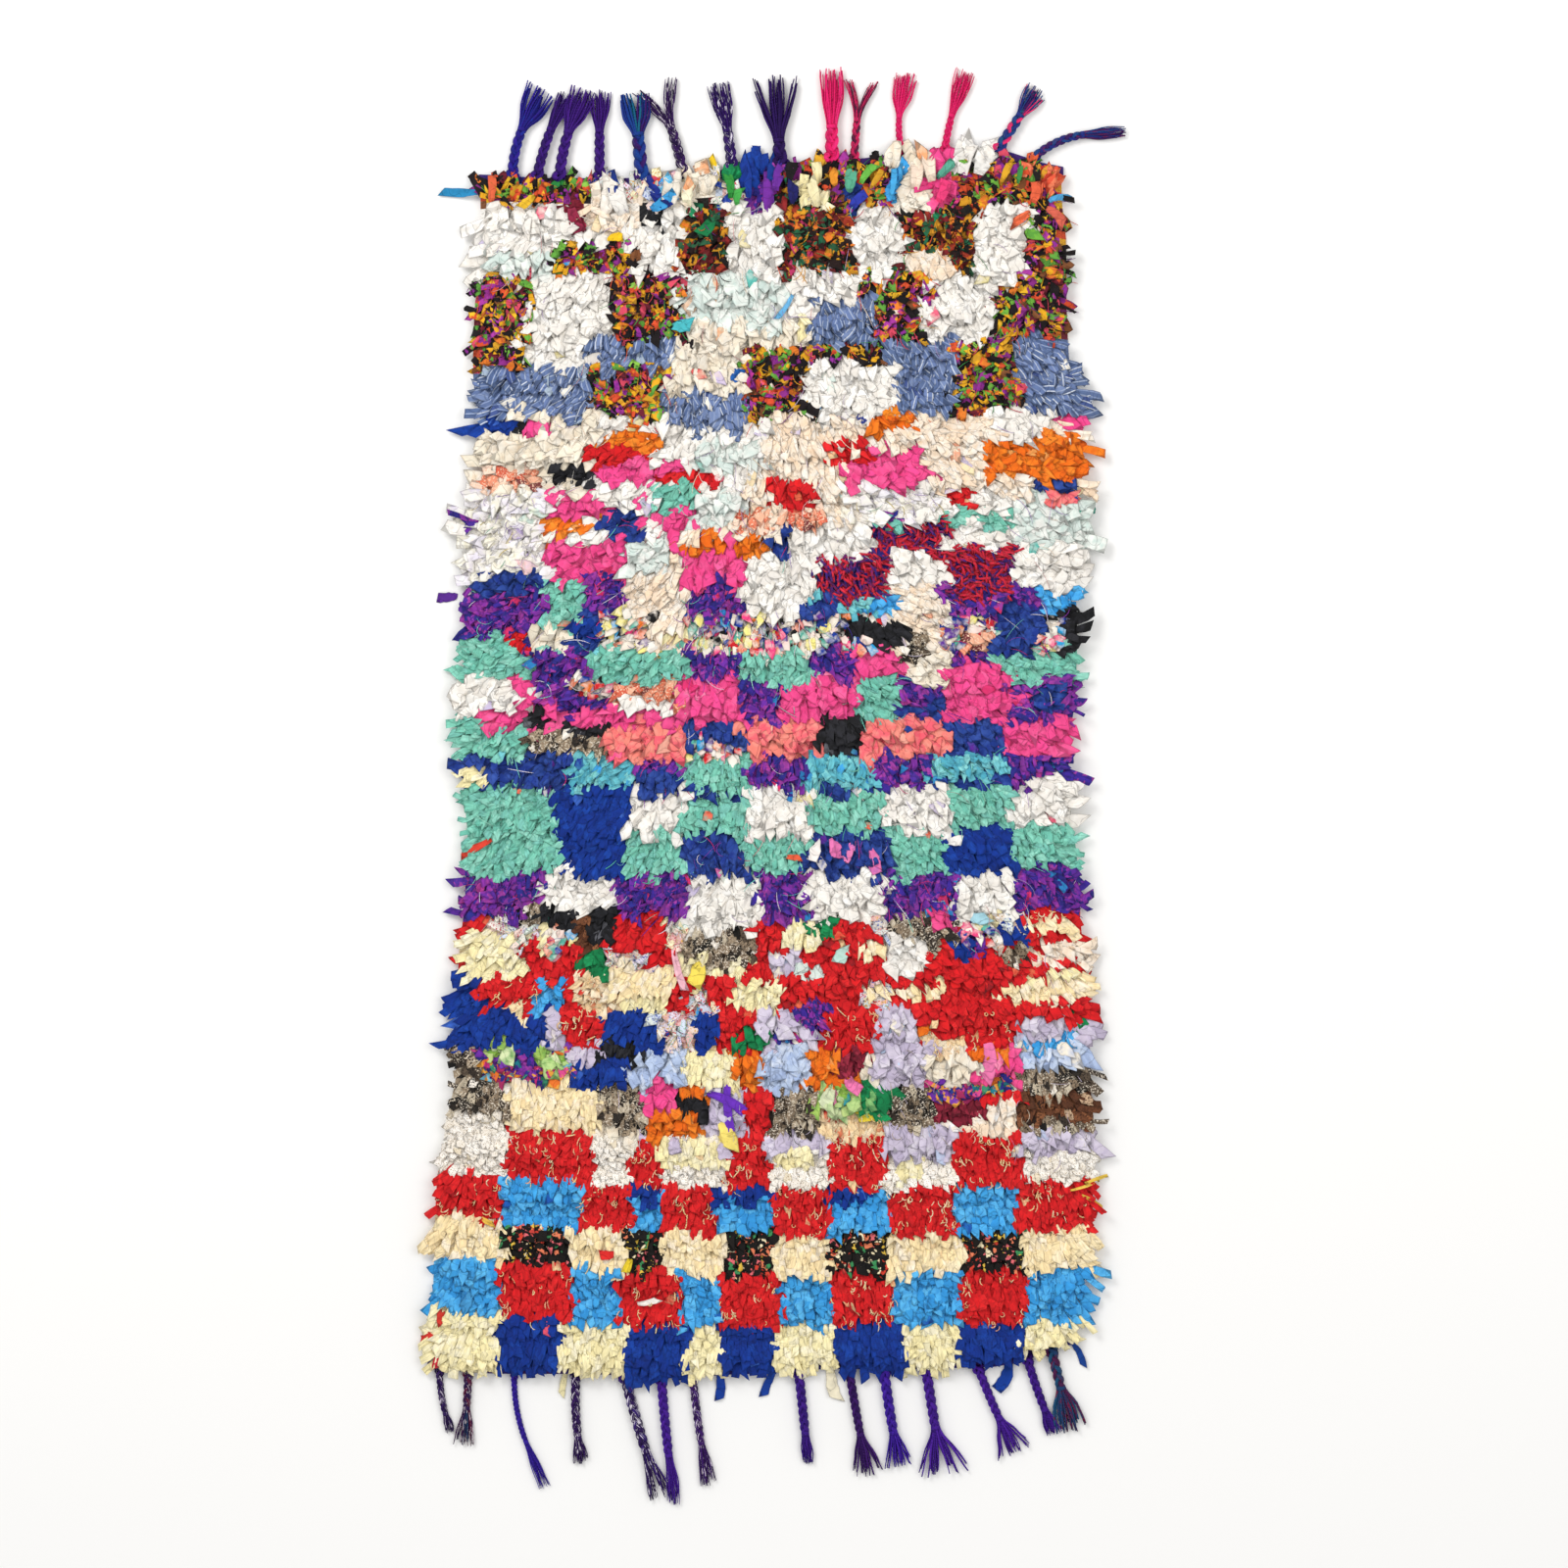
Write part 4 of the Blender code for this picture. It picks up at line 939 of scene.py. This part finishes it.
THREAD_LAYS = (
    ThreadLay("red_fleck cream_fleck", 12500, 0.2, 12, 2.5, 2.3, "f3d6a0 f0c890 f6e2bc f0b48c"),
    ThreadLay("peach white cream mint", 330, -3, 40, 1.3, 1.0, "f6efe4 efd9c0 c9b6d6 d8a0a0 b09ac8"),
    ThreadLay("specked_white", 2600, -3, 24, 1.6, 1.4, "b9a7c8 c8b25e 8fb49c c9b6d6 f6efe4 9a86b8"),
    ThreadLay("purple navy scraps", 800, -3, 32, 1.4, 1.2, "8a3aa8 3a2a90 d8307a e8e0ea 7ad0c0"),
    ThreadLay("teal turquoise", 1500, -3, 26, 1.5, 1.0, "8ad8bc 5cb99e a0e0c8 4a9f88 7ad0c0"),
    ThreadLay("confetti dark", 1300, -3, 26, 1.7, 1.4, "e0a030 d85a3c 7a2a80 1a1214 3f8f4a c83a50"),
    ThreadLay("speckle brown lavender", 700, -3, 26, 1.4, 1.2, "e8dcc8 1c1814 b8a890 cbbfd2"),
)
THREAD_RINGS = 6
THREAD_CLUSTER = 0.024
THREAD_INSET = 0.012
THREAD_STRAY = 42
LOWEST_YARN = 0.0003
PLY_PITCH = 2.4


def yarn_material(name):
    """Two-ply yarn: matt and dark, with the slant of its plies, and flecks of another yarn plied in."""
    material, tree, shader = new_material(name, 0.82)
    shader.inputs["Specular IOR Level"].default_value = 0.2
    yarn = add_node(tree, "Attribute", {"attribute_name": "rag_colour"})
    fleck = add_node(tree, "Attribute", {"attribute_name": "mark_colour"})
    place = add_node(tree, "UVMap", {"uv_map": "cloth_mm"})
    stretched = add_node(tree, "Mapping", {"Scale": (1, 0.17, 1)}, {"Vector": place})
    scatter = add_node(tree, "TexNoise", {"Scale": 1 / 2.6, "Detail": 1.0}, {"Vector": stretched})
    shows = add_node(tree, "MapRange", {"From Min": 0.59, "From Max": 0.64}, {"Value": scatter})
    plied = add_node(tree, "Mix", {"data_type": "RGBA"}, {0: shows, 6: yarn, 7: fleck})
    tree.links.new(plied.outputs[2], shader.inputs["Base Color"])
    twine = {"bands_direction": "DIAGONAL", "Scale": math.pi / 10 / PLY_PITCH, "Distortion": 1.2}
    slant = add_node(tree, "TexWave", twine, {"Vector": place}).outputs["Fac"]
    bump = add_node(tree, "Bump", {"Strength": 0.8, "Distance": 0.001}, {"Height": slant})
    tree.links.new(bump.outputs["Normal"], shader.inputs["Normal"])
    return material


def round_tubes(name, paths, radius, sides, rag_colour, mark_colour, material):
    """Round yarns along paths (yarn, ring, 3), as one piece. radius is (yarn, ring)."""
    rings = paths.shape[1]
    sleeve = closed_sleeve(sides, rings)
    angle = sleeve.side * 2 * math.pi / sides + math.pi / sides
    offsets = np.empty((len(paths), sleeve.side.size, 2))
    offsets[..., 0], offsets[..., 1] = np.cos(angle), np.sin(angle)
    points = swept(sleeve, paths, radius, radius, np.zeros((len(paths), rings)), offsets)
    points[..., 2] = np.maximum(points[..., 2], LOWEST_YARN)
    lengths = np.cumsum(np.linalg.norm(np.diff(paths, axis=1), axis=2), axis=1)
    lengths = np.hstack((np.zeros((len(paths), 1)), lengths))
    around = sleeve.side / sides * 2 * math.pi * radius.mean() + np.arange(len(paths))[:, None] * 0.037
    cloth_uv = np.stack((around, lengths[:, sleeve.ring]), axis=2) / MM
    piece = joined_piece(name, sleeve, points, rag_colour, mark_colour, cloth_uv, material)
    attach(piece, "root")
    return piece


def thread_paths(lay, chance):
    """The lines of one lay's threads, curled over the pile, and a colour for each."""
    span = body_high - body_low
    count = int(lay.density * span.x * span.y)
    x = chance.uniform(body_low.x, body_high.x, count)
    y = chance.uniform(body_low.y, body_high.y, count)
    kept = np.minimum.reduce(wall_distances(x, y)) > THREAD_INSET
    x, y = x[kept], y[kept]
    kept = np.isin(charted(x, y), lay.cloths.split()) & (wandering(x, y, THREAD_CLUSTER, 7.1) > lay.clustered)
    x, y = x[kept], y[kept]
    t = np.linspace(0, 1, THREAD_RINGS)
    heading = lay_heading(x, y, THREAD_STRAY, chance)[:, None]
    heading = heading + chance.normal(0, lay.curl, (x.size, 1)) * (t - 0.4)
    length = lay.length * MM * chance.uniform(0.5, 1.4, (x.size, 1))
    step = length / (THREAD_RINGS - 1)
    across = x[:, None] + np.cumsum(step * np.cos(heading), axis=1)
    along = y[:, None] + np.cumsum(step * np.sin(heading), axis=1)
    up = surface_below(across, along) + chance.normal(0, 0.0006, across.shape)
    colours = random_colours(chance, lay.colours, x.size, 0.06)
    radius = lay.thickness / 2 * MM * chance.uniform(0.6, 1.2, (x.size, 1)) * (1 - 0.5 * (2 * t - 1) ** 4)
    return np.stack((across, along, up), axis=2), radius, colours


chance = np.random.default_rng(77)
lays = [thread_paths(lay, chance) for lay in THREAD_LAYS]
thread_colours = np.vstack([colours for _, _, colours in lays])
loose_threads = round_tubes(
    "loose_threads", np.vstack([lines for lines, _, _ in lays]),
    np.vstack([radius for _, radius, _ in lays]), 3, thread_colours, thread_colours,
    yarn_material("frayed_cotton_thread"),
)


# The end bands: at each end the warps are bound by a few picks of thick twined yarn, which makes a flat
# cord-like strip. The pile of the last rows hangs over it.
SEAM = 0.0006
BAND_WIDTH = 0.0135
BAND_THICKNESS = 0.0026
BAND_COLUMNS = 160
BAND_RIBS = 6
TWINE_PITCH = 7.0
TWINE_COLOURS = ("231a78", "3a1668")

twined_yarn, tree, shader = new_material("twined_purple_yarn", 0.85)
place = add_node(tree, "TexCoord").outputs["Object"]
twine = {"bands_direction": "DIAGONAL", "Scale": math.pi / 10 / (TWINE_PITCH * MM), "Distortion": 1.0}
twist = add_node(tree, "TexWave", twine, {"Vector": place}).outputs["Fac"]
patches = add_node(tree, "TexNoise", {"Scale": 30.0, "Detail": 2.0}, {"Vector": place})
changes = add_node(tree, "MapRange", {"From Min": 0.45, "From Max": 0.55}, {"Value": patches})
yarns = {"data_type": "RGBA", 6: (*linear(TWINE_COLOURS[0]), 1), 7: (*linear(TWINE_COLOURS[1]), 1)}
twined = add_node(tree, "Mix", yarns, {0: changes})
tree.links.new(twined.outputs[2], shader.inputs["Base Color"])
bump = add_node(tree, "Bump", {"Strength": 0.9, "Distance": 0.0015}, {"Height": twist})
tree.links.new(bump.outputs["Normal"], shader.inputs["Normal"])


def end_band(name, side, end_x, wall):
    """A ribbed strip along one end of the ground."""
    bm = bmesh.new()
    bmesh.ops.create_grid(bm, x_segments=BAND_COLUMNS, y_segments=BAND_RIBS, size=1)
    left, right = end_x[0], end_x[-1]
    for vert in bm.verts:
        x = left + (right - left) * (vert.co.x + 1) / 2
        out = SEAM + BAND_WIDTH * (vert.co.y + 1) / 2
        rib = 0.00035 * math.cos(round((vert.co.y + 1) / 2 * BAND_RIBS) * math.pi)
        vert.co = (x, np.interp(x, end_x, wall) + side * out, rib)
    bmesh.ops.solidify(bm, geom=bm.faces[:], thickness=BAND_THICKNESS)
    lowest = min(vert.co.z for vert in bm.verts)
    bmesh.ops.translate(bm, verts=bm.verts, vec=(0, 0, -lowest))
    bmesh.ops.recalc_face_normals(bm, faces=bm.faces)
    band = piece_from(bm, name, twined_yarn)
    band.data.shade_smooth()
    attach(band, "root")
    return band


head_band = end_band("head_band", 1, head_x, head_wall)
foot_band = end_band("foot_band", -1, foot_x, foot_wall)


# The tassels: bunches of the warp ends, plaited or twisted in three and left loose at the tip. They lie on
# the floor as they fell, so that each has its own bend. A few ends at the foot are only knotted rags.
class Tassel(NamedTuple):
    """A plait of warp ends with a loose head, or a rag tail where it has no locks.

    across is its root, metres right of the middle. lean is its heading there, in degrees to the right of
    straight out, and turn is what its heading gains on the way. plaited is the share of its length that is
    plaited, width and head are how wide its plait and its loose head are, and the head parts into locks over
    spread degrees. yarns and flecks are its colours.
    """

    across: float
    length: float
    lean: float
    turn: float
    width: float
    plaited: float
    head: float
    locks: int
    spread: float
    yarns: str
    flecks: str


HEAD_TASSELS = (
    Tassel(-0.411, 0.150, 1, 26, 0.014, 0.52, 0.040, 3, 14, "26187e 2c1a8a 1e1a78", "1c2a90"),
    Tassel(-0.371, 0.146, 11, 12, 0.014, 0.56, 0.022, 2, 8, "34126e 2c105e 3c1678", "280c54"),
    Tassel(-0.334, 0.148, 4, 17, 0.015, 0.52, 0.038, 3, 12, "3a1474 34126c 42187e", "2c0e5c"),
    Tassel(-0.269, 0.142, 0, 0, 0.014, 0.54, 0.029, 3, 12, "38126e 321068 40167a", "2c0e5c"),
    Tassel(-0.200, 0.134, -5, 0, 0.018, 0.52, 0.048, 2, 10, "143c86 1c3484 36145e 105a78", "1f2a80"),
    Tassel(-0.133, 0.150, -10, -12, 0.014, 0.50, 0.030, 2, 42, "2a1046 240e3e 321250", "d8ccd8"),
    Tassel(-0.053, 0.140, -4, -8, 0.015, 0.44, 0.033, 2, 6, "2a0f58 260e50 300f5e", "e4dce8"),
    Tassel(0.026, 0.138, -4, 0, 0.018, 0.26, 0.042, 3, 26, "2a0f54 2c105a 260e4c", "200a44"),
    Tassel(0.110, 0.148, 0, 0, 0.018, 0.36, 0.034, 4, 6, "e8206c e41c66 ec2a74 e01a62", "b81450"),
    Tassel(0.146, 0.128, 4, 2, 0.011, 0.50, 0.022, 2, 34, "d4245e c42058 5a1a3c", "3a2a40"),
    Tassel(0.224, 0.130, -12, 22, 0.009, 0.46, 0.032, 3, 10, "e8206a ea2a70 e21c64", "c81858"),
    Tassel(0.294, 0.132, 8, 10, 0.010, 0.44, 0.026, 2, 4, "e41e66 e8266c dc1a60", "c81858"),
    Tassel(0.381, 0.118, 33, 0, 0.014, 0.56, 0.027, 3, 22, "24307a 1f3c84 e8286c 3a1660", "1c5a78"),
    Tassel(0.437, 0.160, 46, 40, 0.012, 0.58, 0.019, 2, 0, "1f2c7c 1c4482 3a1c5e", "7a1a48"),
)

FOOT_TASSELS = (
    Tassel(-0.530, 0.104, 0, 14, 0.009, 0.70, 0.014, 2, 6, "2c1450 341a5a 221040", "c8bcd0"),
    Tassel(-0.483, 0.118, -2, -2, 0.011, 0.50, 0.022, 3, 16, "2c1248 3a1446 5a1a3c 1c3a60", "e0d4da"),
    Tassel(-0.408, 0.190, -2, 25, 0.008, 0.60, 0.014, 2, 3, "341c9a 3c22a4 2c1888", "241078"),
    Tassel(-0.307, 0.145, -4, 10, 0.012, 0.72, 0.019, 3, 12, "2c1150 341458 260e46", "dcd2e0"),
    Tassel(-0.323, 0.036, -16, 0, 0.009, 0, 0, 0, 0, "f2e6b4", "f2e6b4"),
    Tassel(-0.227, 0.204, 13, 5, 0.014, 0.62, 0.024, 2, 14, "2c1450 261248 341a6a", "e4dce8"),
    Tassel(-0.168, 0.204, 4, 3, 0.013, 0.62, 0.017, 3, 4, "42188c 3c1684 4a1c96", "300f6e"),
    Tassel(-0.117, 0.175, 6, 3, 0.011, 0.62, 0.021, 3, 8, "38145e 3e186a 2e104e", "d8c8e0"),
    Tassel(-0.074, 0.040, 15, 0, 0.013, 0, 0, 0, 0, "0e3a98", "0e3a98"),
    Tassel(0.018, 0.042, -34, -10, 0.012, 0, 0, 0, 0, "123c96", "123c96"),
    Tassel(0.056, 0.150, 6, 0, 0.013, 0.68, 0.018, 2, 2, "3a1780 34147a 441c8a", "2a0f60"),
    Tassel(0.108, 0.050, -3, 6, 0.017, 0, 0, 0, 0, "f2e8cc", "f2e8cc"),
    Tassel(0.138, 0.175, 9, 2, 0.012, 0.62, 0.030, 3, 22, "36125e 301056 3e1668", "260c4a"),
    Tassel(0.195, 0.158, 7, 3, 0.014, 0.66, 0.027, 3, 26, "3c1a96 341688 4420a0", "2a1078"),
    Tassel(0.264, 0.172, 8, 2, 0.014, 0.56, 0.042, 4, 40, "42188a 3a147e 4c1e98", "300f6c"),
    Tassel(0.349, 0.150, 20, 5, 0.012, 0.60, 0.032, 3, 34, "44188c 3c1480 4e1f9a", "300f6c"),
    Tassel(0.399, 0.046, 5, 0, 0.018, 0, 0, 0, 0, "0f3c98", "0f3c98"),
    Tassel(0.429, 0.130, 16, 5, 0.012, 0.68, 0.021, 3, 10, "3e1684 361278 481c90", "2c0e64"),
    Tassel(0.468, 0.136, 14, 0, 0.014, 0.48, 0.044, 4, 12, "1c3c66 1a4a70 4a1a48 243460", "6a1a40"),
    Tassel(0.500, 0.040, 46, 0, 0.010, 0, 0, 0, 0, "13408e", "13408e"),
)

BENT_SHARE = 0.64
ROOT_FAN = 0.014
PLAIT_RINGS = 38
PLAIT_SIDES = 6
LINE_STEPS = 200
TUCK = 0.004
PLAIT_REPEAT = 2.3
STRAND_RADIUS = 0.27
STRAND_SWING = 0.27
STRAND_LIFT = 0.13
TIE_RINGS = 5
TIE_SIDES = 8
TIE_HEIGHT = 0.42
TIE_RADIUS = 0.41
TIE_LENGTH = 0.006
TIE_SWELL = (0.9, 1.05, 1.0, 1.05, 0.9)
END_RINGS = 9
END_SIDES = 4
END_TURN = 0.618
ENDS_IN_HEAD = 30
END_RADIUS = 0.034
YARN_LOFT = 1.28


def middle_line(tassel, side, root_y, s):
    """Where the tassel's middle is at distances s from its root, and its direction to the right there."""
    bent = tassel.length * BENT_SHARE
    fine = np.linspace(0, tassel.length * 1.2, LINE_STEPS)
    heading = math.radians(tassel.lean) + math.radians(tassel.turn) * np.clip(fine / bent, 0, 1)
    ahead = np.stack((np.sin(heading), side * np.cos(heading)), axis=-1)
    line = np.cumsum(ahead, axis=0) * fine[1]
    line = line - line[0] + (tassel.across, root_y)
    before = np.minimum(s, 0)[:, None] * ahead[0]
    places = np.stack([np.interp(s, fine, line[:, axis]) for axis in (0, 1)], axis=-1) + before
    here = np.interp(s, fine, heading)
    return places, np.stack((np.cos(here), -side * np.sin(here)), axis=-1)


def plait_strands(tassel, side, root_y):
    """The three strands of a plait, which cross over and under one another."""
    s = np.linspace(-TUCK, tassel.length * tassel.plaited, PLAIT_RINGS)
    places, rightward = middle_line(tassel, side, root_y, s)
    width = tassel.width
    fan = 1 + 0.9 * (1 - eased(0, ROOT_FAN, s)) - 0.25 * eased(s[-1] - 0.012, s[-1], s)
    strands = []
    for strand in range(3):
        phase = 2 * math.pi * (s / (PLAIT_REPEAT * width) + strand / 3)
        aside = STRAND_SWING * width * np.sin(phase) * fan
        up = width * (STRAND_RADIUS + STRAND_LIFT + STRAND_LIFT * np.sin(2 * phase))
        plan = places + rightward * aside[:, None]
        strands.append(np.column_stack((plan, up)))
    return strands


def loose_ends(tassel, side, root_y, chance):
    """The loose ends past the tie, which swell, part into locks and end unevenly."""
    neck = tassel.length * tassel.plaited
    width = tassel.width
    radius = END_RADIUS * (width + tassel.head)
    ends = []
    for number in range(ENDS_IN_HEAD):
        reach = (tassel.length - neck) * chance.uniform(0.78, 1.06)
        s = neck + np.linspace(-TUCK, reach, END_RINGS)
        t = np.linspace(0, 1, END_RINGS)
        places, rightward = middle_line(tassel, side, root_y, s)
        angle = 2 * math.pi * number * END_TURN
        ring = math.sqrt((number + 0.5) / ENDS_IN_HEAD)
        sideways, upward = ring * math.cos(angle), ring * math.sin(angle)
        lock = round((sideways + 1) / 2 * (tassel.locks - 1)) / (tassel.locks - 1) * 2 - 1
        neck_half = 0.36 * width
        half = neck_half + (tassel.head / 2 - neck_half) * eased(0, 0.6, t) - 0.12 * width * eased(0.8, 1, t)
        bend = math.radians(tassel.spread) * (0.7 * lock + 0.3 * sideways) / 2
        parted = reach * 1.6 * bend * np.maximum(0, t - 0.25) ** 1.6
        wave = 0.0011 * np.sin(t * chance.uniform(5, 9) + chance.uniform(0, 6)) * t
        aside = sideways * half + parted + wave + chance.normal(0, 0.0016) * t**2
        up = width * (0.40 + upward * (0.24 - 0.06 * t) - 0.12 * t)
        plan = places + rightward * aside[:, None]
        ends.append(np.column_stack((plan, np.maximum(up, radius))))
    return ends


def fringe(end, side, tassels, end_x, wall, seed):
    """One end's tassels: their plaits, ties and loose ends, and the rags knotted among them."""
    chance = np.random.default_rng(seed)
    plaits, ties, ends, knotted_rags = [], [], [], []
    for tassel in tassels:
        root_y = np.interp(tassel.across, end_x, wall) + side * (SEAM + BAND_WIDTH)
        if not tassel.locks:
            heading = math.degrees(math.atan2(side, math.tan(math.radians(tassel.lean))))
            root = (tassel.across / CM, (root_y - side * 0.006) / CM)
            size = (tassel.length / MM + 6, tassel.width / MM * 1.15)
            knotted_rags.append(LooseRag(*root, heading, *size, tassel.yarns.split()[0]))
            continue
        tassel = tassel._replace(width=tassel.width * YARN_LOFT)
        end_size = END_RADIUS * (tassel.width + tassel.head)
        colours = [(*linear(code), 1) for code in tassel.yarns.split()]
        fleck = (*linear(tassel.flecks), 1)
        radius = STRAND_RADIUS * tassel.width * (1 - 0.12 * np.linspace(0, 1, PLAIT_RINGS))
        for number, strand in enumerate(plait_strands(tassel, side, root_y)):
            plaits.append((strand, radius, colours[number % len(colours)], fleck))
        neck = tassel.length * tassel.plaited + np.linspace(-0.5, 0.5, TIE_RINGS) * TIE_LENGTH
        places, _ = middle_line(tassel, side, root_y, neck)
        line = np.column_stack((places, np.full(TIE_RINGS, TIE_HEIGHT * tassel.width)))
        ties.append((line, TIE_RADIUS * tassel.width * np.array(TIE_SWELL), colours[0], fleck))
        taper = 1 - 0.35 * np.linspace(0, 1, END_RINGS) ** 3
        for number, yarn in enumerate(loose_ends(tassel, side, root_y, chance)):
            radius = end_size * chance.uniform(0.8, 1.25) * taper
            ends.append((yarn, radius, colours[number % len(colours)], fleck))
    yarn = yarn_material(f"{end}_tassel_yarn")
    pieces = []
    parts = (("plaits", plaits, PLAIT_SIDES), ("ties", ties, TIE_SIDES), ("loose_ends", ends, END_SIDES))
    for part, lines, sides in parts:
        paths, radii, colours, flecks = map(np.array, zip(*lines))
        tubes = round_tubes(
            f"{end}_{part}", paths, radii, sides, colours, flecks, yarn
        )
        pieces.append(tubes)
    if knotted_rags:
        rags = laid_rags(f"{end}_knotted_rags", knotted_rags, torn_cotton, seed)
        pieces.append(rags)
    return pieces


for piece in [head_band, *fringe("head", 1, HEAD_TASSELS, head_x, head_wall, 41)]:
    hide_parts("fringe_head")
for piece in [foot_band, *fringe("foot", -1, FOOT_TASSELS, foot_x, foot_wall, 42)]:
    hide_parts("fringe_foot")
